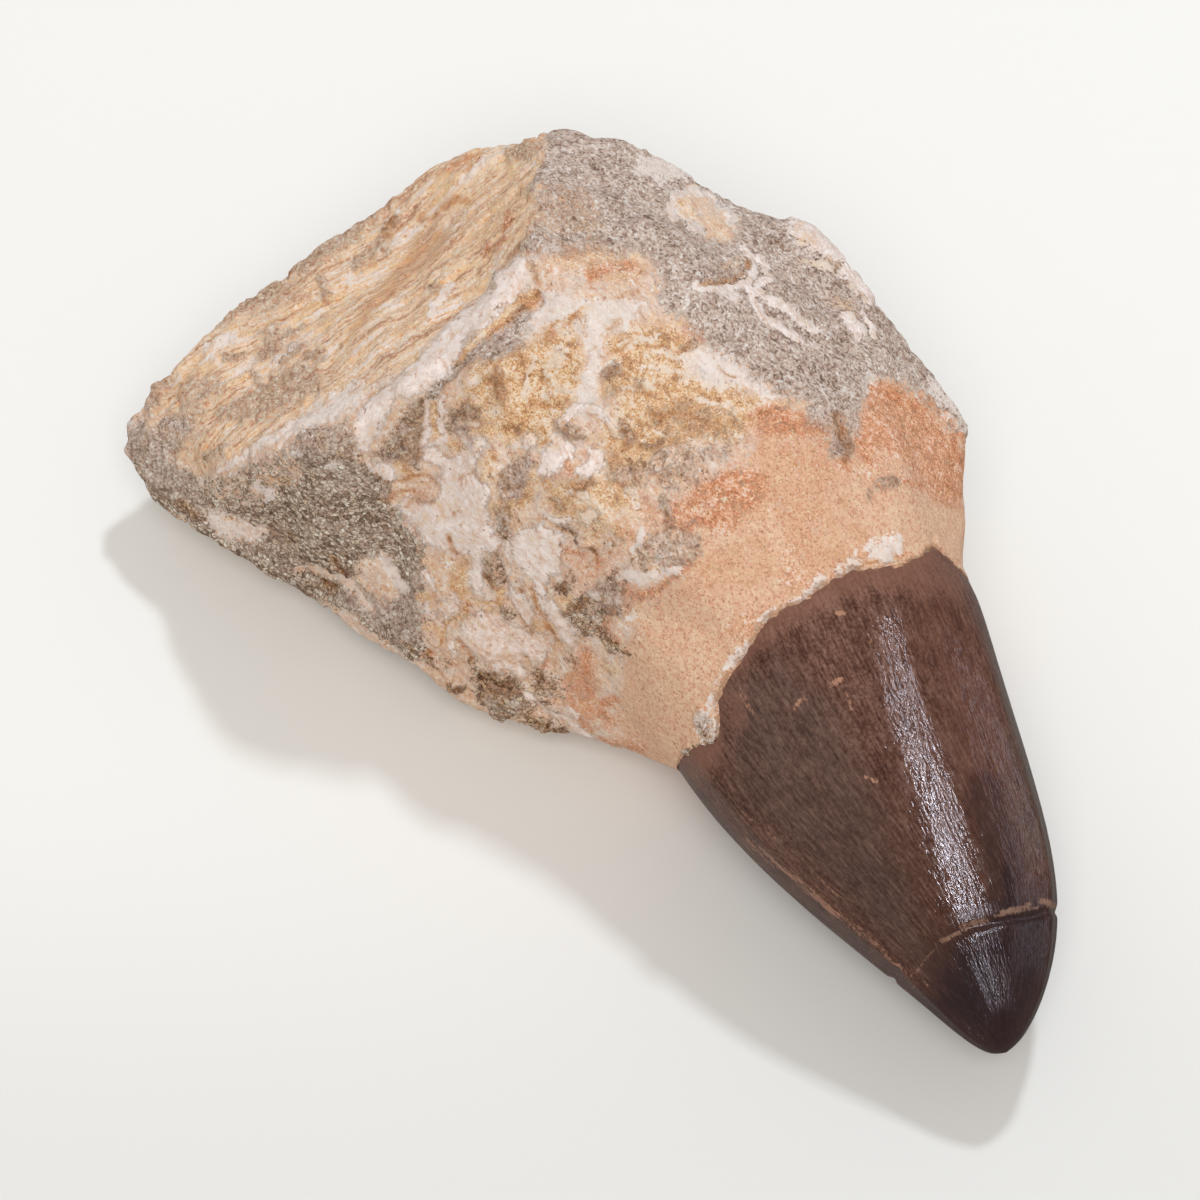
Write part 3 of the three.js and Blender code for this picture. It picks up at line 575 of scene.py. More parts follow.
        (5, 0.9, (560, 532), (574, 536)), (3, 0.6, (574, 543), (590, 551)),
        (4, 0.8, (650, 538), (658, 533), (668, 529)), (5, 0.5, (576, 434), (582, 432)),
        (4, 0.8, (562, 425), (566, 430)), (4, 0.5, (540, 443), (546, 438)),
        (6, 0.3, (500, 478), (508, 484)), (4, 0.6, (490, 455), (498, 459)),
        (3, 0.6, (491, 446), (492, 450)), (4, 0.3, (584, 570), (592, 560)),
        (6, 0.4, (591, 552), (596, 562)), (4, 0.5, (410, 668), (416, 675)),
        (5, 0.5, (425, 650), (429, 653)), (3, 0.4, (402, 640), (415, 652)),
        (9, 0.2, (422, 655), (432, 662)), (3, 0.9, (506, 439), (508, 440)),
        (5, 0.3, (620, 470), (625, 478)), (5, 0.4, (660, 476), (650, 474)),
        (4, 0.6, (636, 478), (638, 480)), (4, 0.5, (616, 484), (620, 484)),
        (3, 0.6, (602, 502), (612, 507)), (5, 0.5, (664, 510), (668, 520)),
        (4, 0.4, (680, 530), (686, 535)), (4, 0.7, (606, 554), (610, 555)),
        (5, 0.6, (631, 558), (634, 560)), (4, 0.6, (614, 576), (618, 570)),
        (3, 0.6, (588, 700), (592, 690)), (4, 0.4, (569, 655), (575, 665)),
        (4, 0.3, (552, 684), (560, 696)), (4, 0.3, (536, 672), (556, 692)),
        (3, 0.4, (486, 665), (492, 672)), (3, 0.5, (510, 655), (517, 668)),
        (4, 0.4, (440, 640), (437, 646)), (3, 0.5, (540, 582), (546, 590)),
        (3, 0.5, (520, 578), (524, 585)), (4, 0.4, (600, 538), (612, 542)),
        (5, 0.4, (573, 497), (575, 488)), (4, 0.4, (556, 510), (551, 498)),
        (4, 0.6, (575, 480), (578, 476)), (6, 0.3, (744, 262), (744, 274), (735, 282)),
        (7, -0.1, (700, 285), (722, 284)), (14, -0.02, (700, 720), (712, 735)),
        (0, -0.02, (446, 430), (450, 413), (462, 404), (479, 409), (479, 420), (465, 424), (470, 436)),
        (0, -0.02, (504, 471), (515, 460), (529, 456), (535, 462), (525, 475), (525, 496), (512, 503),
         (503, 500), (499, 482)),
        (0, -0.02, (494, 508), (509, 505), (513, 520), (509, 541), (500, 537), (495, 526)),
        (0, -0.02, (485, 560), (492, 553), (499, 562), (501, 588), (492, 590), (486, 578)),
        (0, -0.02, (570, 605), (588, 592), (600, 582), (615, 573), (621, 582), (625, 600), (620, 618),
         (600, 614), (600, 628), (612, 640), (627, 656), (612, 653), (600, 641), (592, 632), (580, 639),
         (570, 623), (564, 613)),
        (0, -0.02, (638, 553), (650, 537), (668, 528), (690, 535), (702, 548), (690, 561), (668, 567),
         (655, 560), (645, 567), (635, 561)),
        (0, -0.02, (655, 447), (690, 444), (705, 455), (698, 480), (680, 490), (664, 486), (650, 470)),
        (0, -0.02, (612, 462), (640, 458), (645, 480), (625, 486), (612, 480)),
        (8, -0.02, (664, 500), (668, 520)), (8, -0.02, (425, 660), (445, 668)),
        (8, -0.02, (604, 545), (618, 540)),
        (0, -0.02, (372, 456), (385, 445), (398, 426), (412, 404), (424, 396), (425, 412), (420, 450),
         (416, 467), (398, 463), (385, 460)),
        (0, -0.04, (430, 590), (500, 600), (560, 620), (600, 690), (600, 740), (480, 720), (430, 680)),
        (10, 0.15, (497, 372), (500, 398)), (11, 0.15, (622, 424), (630, 438)),
        (11, 0.15, (607, 374), (618, 366)), (8, 0.15, (684, 346), (694, 342)),
        (12, 0.15, (560, 424), (580, 436)), (10, 0.15, (872, 495), (882, 482), (894, 480)),
        (11, 0.15, (622, 424), (631, 439)), (4, 0.15, (632, 440), (648, 446), (660, 440)),
        (11, 0.15, (562, 424), (580, 435)), (8, 0.15, (580, 488), (590, 482)),
        (14, 0.5, (835, 418), (840, 440)), (10, 0.4, (846, 446), (848, 458)),
        (0, -0.1, (650, 408), (690, 402), (735, 417), (745, 435), (720, 458), (680, 440), (655, 425)),
        (20, -0.15, (610, 440), (640, 460)), (70, -0.14, (790, 455), (830, 540)),
        (40, -0.16, (700, 580), (760, 560)),
    ],
}

endFace = [  # the outline of the broken end
    (0, 1, (140, 470), (155, 375), (180, 345), (230, 305), (300, 252), (390, 180), (460, 140), (500, 130),
     (545, 130), (542, 165), (530, 190), (540, 215), (525, 250), (510, 265), (490, 285), (440, 340),
     (400, 372), (340, 392), (300, 415), (262, 438), (225, 462), (200, 478), (190, 470), (165, 455),
     (185, 440), (195, 425), (160, 410)),
]

stoneRelief = [  # brush width or 0, height in millimetres, then view places
    (24, 0.5, (520, 266), (490, 296), (462, 322), (436, 350), (404, 384)),
    (12, -0.9, (536, 300), (512, 324), (490, 345), (468, 368), (450, 388)),
    (0, 0.55, (667, 205), (682, 193), (705, 196), (738, 224), (738, 233), (712, 243), (696, 230),
     (676, 222)),
    (0, 0.5, (690, 268), (700, 256), (735, 250), (748, 258), (749, 270), (725, 287), (705, 290),
     (695, 283)), (0, -0.3, (752, 300), (778, 308), (806, 334), (786, 328), (766, 316)),
    (0, 0.6, (786, 226), (800, 216), (818, 228), (838, 250), (845, 266), (825, 264), (805, 255),
     (789, 235)), (0, 0.5, (838, 262), (855, 272), (875, 295), (873, 307), (860, 303), (848, 286)),
    (16, -0.9, (314, 584), (332, 592)),
    (0, 0.5, (352, 565), (380, 553), (404, 590), (408, 602), (372, 592)), (10, 0.4, (333, 463), (341, 467)),
    (9, 0.35, (298, 500), (303, 502)), (12, -0.4, (268, 532), (285, 545)),
    (0, -0.35, (572, 600), (595, 584), (624, 588), (614, 612), (600, 636), (576, 624)),
    (9, -0.5, (497, 560), (503, 590), (512, 620)), (10, -0.5, (480, 678), (510, 690), (545, 716)),
    (0, 0.3, (862, 549), (875, 540), (895, 533), (906, 540), (888, 561)), (8, 0.3, (830, 564), (860, 562)),
    (9, 0.3, (806, 592), (824, 579)), (12, 0.3, (748, 650), (724, 672), (714, 700), (710, 738)),
    (8, -0.4, (622, 430), (645, 442), (664, 440)), (6, -0.35, (652, 412), (690, 414)),
]


def buildStone():
    stone = copyOfNode("tooth_root", "rootStone")
    points = pointsOf(stone)
    x, deg, out = crownPlace(points)
    flags = []
    for face in stone.data.polygons:  # the hollow for the crown is cut out and closed over
        corners = list(face.vertices)
        middle = points[corners].mean(0)
        axis = crownMiddle(np.array([(middle - crownBase) @ crownAlong]))[0]
        over, outside = x[corners] + crownForm["seat"], out[corners]
        inward = np.array(face.normal) @ (middle - axis) < 0
        wall = inward and (np.abs(outside) < 0.5).all() and (over > -0.5).all()
        floor = (np.abs(over) < 0.3).all() and (outside < 0.6).all()
        flags.append(bool(wall or floor))
    selectFaces(stone, flags)
    bpy.ops.mesh.delete(type="FACE")
    bpy.ops.mesh.select_mode(type="EDGE")
    bpy.ops.mesh.select_all(action="DESELECT")
    bpy.ops.mesh.select_non_manifold()
    bpy.ops.mesh.edge_face_add()
    bpy.ops.object.mode_set(mode="OBJECT")
    applyModifier(stone, "REMESH", mode="VOXEL", voxel_size=stoneSet["voxel"] * mm)
    applyModifier(stone, "SMOOTH", factor=0.5, iterations=stoneSet["smoothing"])
    print("stone remeshed:", len(stone.data.polygons), "faces")
    return stone


def seenFromCamera(piece, others):
    points, normals = pointsOf(piece), normalsOf(piece)
    trees = [BVHTree.FromObject(o, bpy.context.evaluated_depsgraph_get()) for o in [piece] + others]
    seen = np.zeros(len(points), bool)
    for i, (p, n) in enumerate(zip(points, normals)):
        ray = viewEye - p
        length = np.linalg.norm(ray)
        if n @ ray < 0.02 * length:
            continue
        start = Vector(p + 0.25 * n) * mm
        seen[i] = all(t.ray_cast(start, Vector(ray / length), length * mm)[0] is None for t in trees)
    return seen


def spreadPaint(points, seen, fields, hidden):  # carries the paint a little way onto the hidden sides
    shown = np.flatnonzero(seen)
    tree = KDTree(len(shown))
    for k, i in enumerate(shown):
        tree.insert(points[i], k)
    tree.balance()
    for i in np.flatnonzero(~seen):
        _, index, away = tree.find(points[i])
        keep = 1 - float(smoothStep(away, *stoneSet["carried"]))
        for name in fields:
            fields[name][i] = keep * fields[name][shown[index]] + (1 - keep) * hidden[name][i]
    return fields


def paintStone(stone, crown):
    points = pointsOf(stone)
    seen = seenFromCamera(stone, [crown])
    places = onView(points)
    places = places + stoneSet["sway"] * np.stack([lumps(points, 5.0, 1), lumps(points, 5.0, 2)], -1)
    places = places + stoneSet["fray"] * np.stack([lumps(points, 1.4, 3, 3), lumps(points, 1.4, 4, 3)], -1)
    fields = {name: paintField(places, marks) for name, marks in stoneMarks.items()}
    fields["endFace"] = paintField(places, endFace)
    relief = np.zeros(len(points))
    for width, rise, *line in stoneRelief:
        relief += rise * smoothStep(paintField(places, [(width, 1, *line)]), -0.5, 0.8) * seen
    x, deg, _ = crownPlace(points)
    nearCrown = (1 - smoothStep(np.abs(x - enamelEdge(deg)), 8, 14)) * (x > -20)
    patches = lumps(points, 9.0, 11, 3)
    hidden = {  # what the sides away from the camera get
        "sand": 2.2 * (patches + 0.22) - 2.5 * nearCrown,
        "chalk": 3 * lumps(points, 5.0, 12, 3) - 1.5,
        "ochre": 2 * lumps(points, 12.0, 13, 2),
        "rust": 2 * lumps(points, 10.0, 14, 2) - 0.7 + 0.8 * nearCrown,
        "peach": 3 * nearCrown - 1.6 + 0.8 * patches,
        "brown": 3 * lumps(points, 4.0, 15, 2) - 2.2,
        "endFace": np.full(len(points), -1.0),
        "shell": np.full(len(points), -1.0),
    }
    hidden = {name: np.clip(values, -1, 1) for name, values in hidden.items()}
    return spreadPaint(points, seen, fields, hidden), relief, seen


def sculptStone(stone, fields, relief):
    points, normals = pointsOf(stone), normalsOf(stone)
    run = np.array(stoneSet["streakRun"])
    run /= np.linalg.norm(run)
    across = np.cross(run, normals[fields["endFace"] > 0.5].mean(0))
    across /= np.linalg.norm(across)
    outward = np.cross(across, run)
    stretched = (points @ across)[:, None] * across
    for share, way in zip(stoneSet["fibreSquash"], (run, outward)):
        stretched += share * (points @ way)[:, None] * way
    crumbs = lumps(points, 1.1, 22, 3)
    height = relief - stoneSet["sink"]
    height += stoneSet["sandRise"] * smoothStep(fields["sand"] + 0.5 * crumbs, -0.3, 0.35)
    height += stoneSet["chalkRise"] * smoothStep(fields["chalk"] + 0.4 * crumbs, -0.1, 0.5)
    height -= stoneSet["brownDepth"] * smoothStep(fields["brown"], 0, 0.9)
    shelly = smoothStep(fields["shell"] + 0.2 * crumbs, -0.1, 0.5)
    height += stoneSet["shellRise"] * shelly
    calm = (1 - 0.8 * smoothStep(fields["peach"], -0.3, 0.4)) * (1 - 0.75 * shelly)
    height += calm * (stoneSet["lumpy"] * lumps(points, 3.2, 21, 2) + stoneSet["rough"] * crumbs)
    height += stoneSet["fibreRise"] * smoothStep(fields["endFace"], -0.4, 0.5) * lumps(stretched, 1.5, 23, 3)
    points = points + height[:, None] * normals
    x, deg, out = crownPlace(points)
    edge = enamelEdge(deg) + 0.3 * lumps(points, 1.2, 31, 3) + 0.25 * lumps(points, 4.0, 32)
    shown = x - edge
    beside = (x > -6) & (out < 6)
    lip = np.clip(out, 0.03 - 0.06 * shown, 0.12 - 0.75 * shown)  # thin at the edge, thicker behind it
    under = np.minimum(out, -0.03 - 0.3 * shown)  # past the edge it sinks into the crown
    want = np.where(beside, np.where(shown > 0, under, lip), out)
    radial = points - crownMiddle(x)
    radial /= np.maximum(np.linalg.norm(radial, axis=1), 1e-6)[:, None]
    points = points + (want - out)[:, None] * radial
    low, high = np.array(cadBox) / mm
    points = np.clip(points, low - stoneSet["overhang"], high + stoneSet["overhang"])
    points[:, 2] = np.maximum(points[:, 2], 0)
    setPoints(stone, points)
    boneAlong = (points @ crownAlong)[:, None] * crownAlong
    store(stone, "fibre", stretched * mm)
    store(stone, "boneFibre", (points - stoneSet["boneSquash"] * boneAlong) * mm)
    # marks the sides that face down, where the sand gets painted shade
    store(stone, "steep", smoothStep(-normals[:, 2], -0.8, 0.1))
    store(stone, "rim", np.where(beside, 1 - np.abs(shown) / 0.9, -1))
    for name, field in fields.items():
        store(stone, name, field)
    takeUp(stone)
    bpy.ops.object.shade_smooth()
    print("stone sculpted")


def thinHiddenSide(stone, seen):  # fewer faces where the camera doesn't look
    group = stone.vertex_groups.new(name="hidden")
    group.add(np.flatnonzero(~seen).tolist(), 1.0, "REPLACE")
    applyModifier(stone, "DECIMATE", ratio=stoneSet["keptShare"], vertex_group="hidden")
    stone.vertex_groups.clear()
    stone.data.calc_loop_triangles()
    print("hidden side thinned:", len(stone.data.loop_triangles), "triangles left")


def tone(red, green, blue):  # from screen values
    def straight(v):
        v /= 255
        return v / 12.92 if v <= 0.04045 else ((v + 0.055) / 1.055) ** 2.4
    return (straight(red), straight(green), straight(blue), 1.0)


def settle(tree, item, values):  # links or plain values into a node's sockets
    for key, value in values.items():
        if isinstance(value, bpy.types.NodeSocket):
            tree.links.new(value, item.inputs[key])
        else:
            item.inputs[key].default_value = value


def addNode(tree, kind, values=None, **settings):
    item = tree.nodes.new("ShaderNode" + kind)
    for key, value in settings.items():
        setattr(item, key, value)
    settle(tree, item, values or {})
    return item


def scaled(tree, value, by, plus=0.0):
    return addNode(tree, "Math", {0: value, 1: by, 2: plus}, operation="MULTIPLY_ADD").outputs[0]


def between(tree, value, low, high, most=1.0):  # soft step from 0 at low to most at high
    limits = {"Value": value, "From Min": low, "From Max": high, "To Max": most}
    return addNode(tree, "MapRange", limits, interpolation_type="SMOOTHSTEP").outputs[0]


def blend(tree, amount, under, over, way="MIX"):
    return addNode(tree, "Mix", {0: amount, 6: under, 7: over}, data_type="RGBA", blend_type=way).outputs[2]


def coats(tree, colour, *rows):  # each lays a colour on where its value goes from low to high
    for value, low, high, most, over, *way in rows:
        colour = blend(tree, between(tree, value, low, high, most), colour, over, *way)
    return colour


def speckle(tree, place, size, detail=2.0, rough=0.5, warp=0.0):  # noise, size in millimetres
    return addNode(tree, "TexNoise", {"Vector": place, "Scale": 1 / (size * mm), "Detail": detail,
                                      "Roughness": rough, "Distortion": warp}).outputs[0]


def cells(tree, place, size, feature="F1"):  # sand grains, size in millimetres
    return addNode(tree, "TexVoronoi", {"Vector": place, "Scale": 1 / (size * mm)}, feature=feature)


def moved(tree, place, x, y, z):
    return addNode(tree, "VectorMath", {0: place, 1: (x, y, z)}, operation="ADD").outputs[0]


def mixOf(tree, *parts, middle=0.0):  # noises and how much each adds, about a middle value
    total = middle - 0.5 * sum(amount for _, amount in parts)
    for noiseOut, amount in parts:
        total = scaled(tree, noiseOut, amount, total)
    return total


def shades(tree, value, *stops):  # colour ramp: place, colour
    item = addNode(tree, "ValToRGB", {0: value})
    ramp = item.color_ramp
    for place, colour in stops[2:]:
        ramp.elements.new(place)
    for element, (place, colour) in zip(sorted(ramp.elements, key=lambda e: e.position), stops):
        element.position, element.color = place, colour
    return item.outputs[0]


def newMaterial(name):
    material = bpy.data.materials.new(name)
    material.use_nodes = True
    tree = material.node_tree
    tree.nodes.clear()
    shader = addNode(tree, "BsdfPrincipled")
    tree.links.new(shader.outputs[0], addNode(tree, "OutputMaterial").inputs[0])
    return material, tree, shader


def layerOf(tree, name, output="Fac"):  # a value stored on the piece
    return addNode(tree, "Attribute", attribute_name=name).outputs[output]


boneColours = {
    "bone": tone(236, 212, 196), "boneWarm": tone(230, 196, 168), "boneGrey": tone(219, 203, 190),
    "bonePit": tone(156, 114, 84), "chalk": tone(242, 228, 220), "chalkShade": tone(231, 212, 201),
    "ochre": tone(222, 172, 118), "ochreDeep": tone(178, 126, 80), "cream": tone(240, 214, 184),
    "rust": tone(220, 156, 116), "rustDeep": tone(200, 128, 88), "rustGlow": tone(246, 220, 200),
    "rustPale": tone(234, 190, 160), "peach": tone(228, 188, 157), "peachDot": tone(198, 146, 113),
    "mauve": tone(214, 178, 156), "orange": tone(248, 203, 153), "streak": tone(200, 158, 129),
    # the sand's tint for the sides that face down and its crevice colour are painted shade
    "stainAndShade": tone(224, 196, 168), "line": tone(196, 162, 132), "undersideShade": tone(255, 252, 238),
    "sandDark": tone(106, 84, 70), "sandBrown": tone(170, 143, 126), "sandTan": tone(210, 187, 172),
    "sandPale": tone(230, 212, 201), "sandWhite": tone(255, 250, 244), "sandOchre": tone(217, 180, 144),
    "sandMauve": tone(204, 180, 169), "sandCreviceShade": tone(82, 64, 48),
    "shell": tone(243, 230, 225), "shellGrey": tone(225, 210, 203), "shellTan": tone(230, 206, 184),
}


def stoneMaterial():
    material, tree, shader = newMaterial("boneAndSand")
    place = addNode(tree, "TexCoord").outputs["Object"]
    fibre = layerOf(tree, "fibre", "Vector")
    c = boneColours
    broad = speckle(tree, moved(tree, place, 0.5, 0.1, 0.7), 4.0, 3, 0.6)
    mid = speckle(tree, place, 1.4, 8, 0.74)
    other = speckle(tree, moved(tree, place, 0.31, 0.17, 0.23), 1.9, 8, 0.74)
    fine = speckle(tree, place, 0.42, 4, 0.75)
    dust = speckle(tree, moved(tree, place, 0.7, 0.3, 0.1), 0.2, 2, 0.6)
    veins = speckle(tree, layerOf(tree, "boneFibre", "Vector"), 0.8, 5, 0.7, 0.4)
    streakFine = speckle(tree, fibre, 0.3, 1, 0.5)
    streakOther = speckle(tree, moved(tree, fibre, 0.13, 0.21, 0.37), 0.8, 2, 0.6)
    streakWide = speckle(tree, fibre, 2.4, 3, 0.6)
    halfFibre = addNode(tree, "Mix", {0: 0.7, 4: place, 5: fibre}, data_type="VECTOR").outputs[1]
    streakDash = speckle(tree, halfFibre, 1.2, 7, 0.76)
    grains = cells(tree, place, stoneSet["grain"])
    bigGrains = cells(tree, place, stoneSet["bigGrain"])
    gaps = cells(tree, place, stoneSet["bigGrain"], "DISTANCE_TO_EDGE").outputs["Distance"]
    grainPick, speckPick = addNode(tree, "SeparateColor", {0: grains.outputs["Color"]}).outputs[:2]
    bigPick = addNode(tree, "SeparateColor", {0: bigGrains.outputs["Color"]}).outputs[0]
    pick = scaled(tree, bigPick, 0.35, scaled(tree, grainPick, 0.65))
    ragged = mixOf(tree, (mid, 2.4), (fine, 1.8), (pick, 0.5))
    patchy = mixOf(tree, (other, 3.0), (fine, -1.4), (pick, 0.4))
    streaky = mixOf(tree, (streakWide, 0.8), (streakOther, 1.0), (streakDash, 2.6), (fine, 1.2), (pick, 0.5))
    layers = {name: layerOf(tree, name) for name in [*stoneMarks, "endFace", "steep", "rim"]}

    def frayed(name, noiseOut, share=1.0):  # a painted patch with its edge broken up
        return scaled(tree, noiseOut, share, layers[name])

    onFace = between(tree, frayed("endFace", ragged, 0.6), -0.3, 0.4)
    wobble = addNode(tree, "Mix", {0: onFace, 2: ragged, 3: streaky}, data_type="FLOAT").outputs[0]

    # bone, grey to cream, with ochre patches
    colour = shades(tree, other, (0.36, c["boneGrey"]), (0.46, c["bone"]), (0.54, c["boneWarm"]),
                    (0.62, c["cream"]))
    colour = coats(tree, colour, (veins, 0.5, 0.6, 0.6, c["mauve"]), (veins, 0.44, 0.36, 0.7, c["chalk"]),
                   (patchy, 0.3, 0.42, 1, c["chalk"]), (ragged, -0.3, -0.6, 0.8, c["bonePit"]))
    ochreValue = mixOf(tree, (mid, 0.7), (other, 0.5), (fine, 0.5), (dust, 0.5), middle=0.5)
    ochreLook = shades(tree, ochreValue, (0.3, c["bonePit"]), (0.38, c["ochreDeep"]), (0.47, c["ochre"]),
                       (0.56, c["cream"]), (0.66, c["chalk"]))
    ochreLook = coats(tree, ochreLook, (patchy, -0.3, -0.5, 1, c["ochreDeep"]),
                      (patchy, 0.3, 0.42, 1, c["cream"]))
    colour = coats(tree, colour, (frayed("ochre", ragged), -0.35, 0.35, 0.9, ochreLook))

    # the streaked end face
    faceValue = mixOf(tree, (streakWide, 0.7), (streakDash, 1.1), (streakFine, 0.3), (fine, 0.3), middle=0.5)
    faceSpeck = mixOf(tree, (dust, 1.0), (fine, 1.0), (streakDash, 1.6), middle=0.5)
    faceOchre = shades(tree, streakDash, (0.4, c["ochreDeep"]), (0.5, c["orange"]), (0.6, c["cream"]))
    faceLook = shades(tree, faceValue, (0.32, c["streak"]), (0.42, c["peach"]), (0.48, c["cream"]),
                      (0.56, c["orange"]), (0.63, c["chalk"]))
    faceLook = coats(
        tree, faceLook,
        (streakOther, 0.46, 0.36, 0.3, c["streak"]), (streakOther, 0.54, 0.64, 0.5, c["bone"]),
        (streakFine, 0.54, 0.66, 0.35, c["chalk"]), (streakFine, 0.46, 0.34, 0.25, c["ochreDeep"]),
        (faceSpeck, 0.38, 0.22, 0.75, c["streak"]), (faceSpeck, 0.6, 0.76, 0.8, c["bone"]),
        (frayed("ochre", streaky), 0.1, 0.8, 0.8, faceOchre))
    colour = blend(tree, onFace, colour, faceLook)

    # peach collar and rust stains
    peachValue = mixOf(tree, (dust, 0.9), (fine, 0.4), (grainPick, 0.15), middle=0.5)
    peachLook = shades(tree, peachValue, (0.3, c["peachDot"]), (0.44, c["peach"]), (0.7, c["rustPale"]))
    rustValue = mixOf(tree, (mid, 1.7), (dust, 0.9), (fine, 0.8), (grainPick, 0.2), middle=0.5)
    rustLook = shades(tree, rustValue, (0.26, c["bonePit"]), (0.38, c["rustDeep"]), (0.5, c["rust"]),
                      (0.64, c["rustPale"]), (0.78, c["chalk"]))
    rustLook = coats(tree, rustLook, (patchy, 0.35, 0.5, 1, c["cream"]))
    colour = coats(tree, colour, (frayed("peach", ragged), -0.3, 0.3, 1, peachLook),
                   (frayed("rust", wobble), -0.35, 0.6, 0.9, rustLook),
                   (frayed("rust", ragged, 0.9), 0.3, 1.0, 0.75, c["rustGlow"], "MULTIPLY"))

    # sand, coarser on the steep sides, with painted shade where the sides face down and in the crevices
    # between grains
    steepness = between(tree, frayed("steep", ragged, 0.8), 0.2, 1.0)
    sandPick = addNode(tree, "Mix", {0: scaled(tree, steepness, 0.62), 2: pick, 3: bigPick},
                       data_type="FLOAT").outputs[0]
    sandLook = shades(tree, sandPick, (0.1, c["sandDark"]), (0.28, c["sandBrown"]), (0.5, c["sandTan"]),
                      (0.76, c["sandPale"]), (0.94, c["sandWhite"]))
    sandValue = mixOf(tree, (broad, 1.0), (other, 0.8), middle=0.5)
    sandTone = shades(tree, sandValue, (0.34, c["sandBrown"]), (0.46, c["sandMauve"]), (0.54, c["sandTan"]),
                      (0.66, c["sandPale"]))
    sandLook = blend(tree, scaled(tree, steepness, -0.36, 0.45), sandLook, sandTone)
    sandLook = blend(tree, scaled(tree, onFace, 0.5), sandLook, c["sandOchre"])
    sandLook = coats(tree, sandLook, (frayed("ochre", ragged), 0, 0.9, 0.45, c["ochre"]),
                     (frayed("rust", ragged), 0, 0.9, 0.45, c["rust"]))
    # painted shade: the sides that face down are tinted darker, and gaps between grains and pits are
    # darkened
    sandLook = blend(tree, scaled(tree, steepness, 0.8), sandLook, c["undersideShade"], "MULTIPLY")
    sandLook = coats(tree, sandLook, (gaps, 0.14, 0.0, scaled(tree, steepness, 0.7, 0.1), c["sandCreviceShade"]),
                     (ragged, -0.15, -0.5, scaled(tree, steepness, 0.36, 0.3), c["sandCreviceShade"]))
    sandSoft = scaled(tree, onFace, 0.4, 0.1)
    sandCover = between(tree, frayed("sand", wobble), scaled(tree, sandSoft, -1.0), sandSoft)
    colour = blend(tree, sandCover, colour, sandLook)

    # chalky and shelly bone
    chalkLook = coats(tree, c["chalk"], (mid, 0.5, 0.38, 1, c["chalkShade"]),
                      (frayed("ochre", patchy), 0.0, 0.9, 0.6, c["cream"]))
    shellLook = shades(tree, other, (0.38, c["shellTan"]), (0.46, c["shellGrey"]), (0.56, c["shell"]))
    shellLook = coats(tree, shellLook, (veins, 0.53, 0.6, 0.5, c["mauve"]),
                      (frayed("ochre", patchy, 0.6), -0.1, 0.5, 0.9, c["shellTan"]))
    shellCover = between(tree, frayed("shell", ragged, 0.6), -0.12, 0.15, 0.88)
    colour = coats(tree, colour, (frayed("chalk", patchy, 0.9), -0.05, 0.15, 0.92, chalkLook))
    colour = blend(tree, shellCover, colour, shellLook)

    # brown stains and pits, partly painted shade along crevices and undercuts, and the line where the enamel
    # starts
    brown = frayed("brown", wobble)
    colour = coats(tree, colour, (brown, -0.3, 0.6, 1, c["stainAndShade"], "MULTIPLY"),
                   (brown, 0.4, 1.1, 1, c["line"], "MULTIPLY"),
                   (speckPick, 0.95, 0.98, between(tree, other, 0.5, 0.58, 0.55), c["bonePit"]),
                   (frayed("rim", ragged), 0.5, 0.8, 0.6, c["bonePit"]))
    grit = shades(tree, pick, (0.15, (0.22, 0.15, 0.11, 1)), (0.35, (0.45, 0.42, 0.4, 1)),
                  (0.6, (0.52, 0.52, 0.52, 1)), (0.85, (0.78, 0.79, 0.8, 1)))
    colour = blend(tree, scaled(tree, onFace, 0.16, 0.34), colour, grit, "OVERLAY")

    grainBump = scaled(tree, grains.outputs["Distance"], scaled(tree, sandCover, -0.6))
    grainBump = scaled(tree, gaps, scaled(tree, sandCover, steepness), grainBump)
    relief = scaled(tree, fine, 0.7, scaled(tree, mid, 1.0, grainBump))
    relief = scaled(tree, relief, scaled(tree, shellCover, -0.6, 1.0))
    bump = addNode(tree, "Bump", {"Height": relief, "Strength": stoneSet["bump"],
                                  "Distance": stoneSet["bumpDepth"] * mm})
    settle(tree, shader, {"Base Color": colour, "Roughness": stoneSet["roughness"],
                          "Specular IOR Level": stoneSet["gloss"], "Normal": bump.outputs[0]})
    return material


crownSet = {
    "levels": 3, "undulation": 0.12, "wallRadius": 13, "striaeLength": 0.09, "sway": 1.6,
    "roughness": -0.035, "roughSpread": 0.24, "brokenRough": 0.06, "dullRough": 0.13, "fillerRough": 0.5,
    "ior": 1.5, "gloss": 0.38, "bumpDepth": 0.056,
    "colours": {"deep": tone(62, 39, 33), "brown": tone(100, 68, 56), "pale": tone(134, 102, 89),
                "red": tone(98, 60, 48), "greyAndSheen": tone(84, 74, 69), "dark": tone(30, 21, 28),
                "halo": tone(138, 98, 82), "worn": tone(172, 128, 105), "filler": tone(130, 98, 80)},
    "softest": {"red": 34.0, "greyAndSheen": 34.0, "dark": 34.0, "dull": 34.0},  # how wide these marks fade out
}

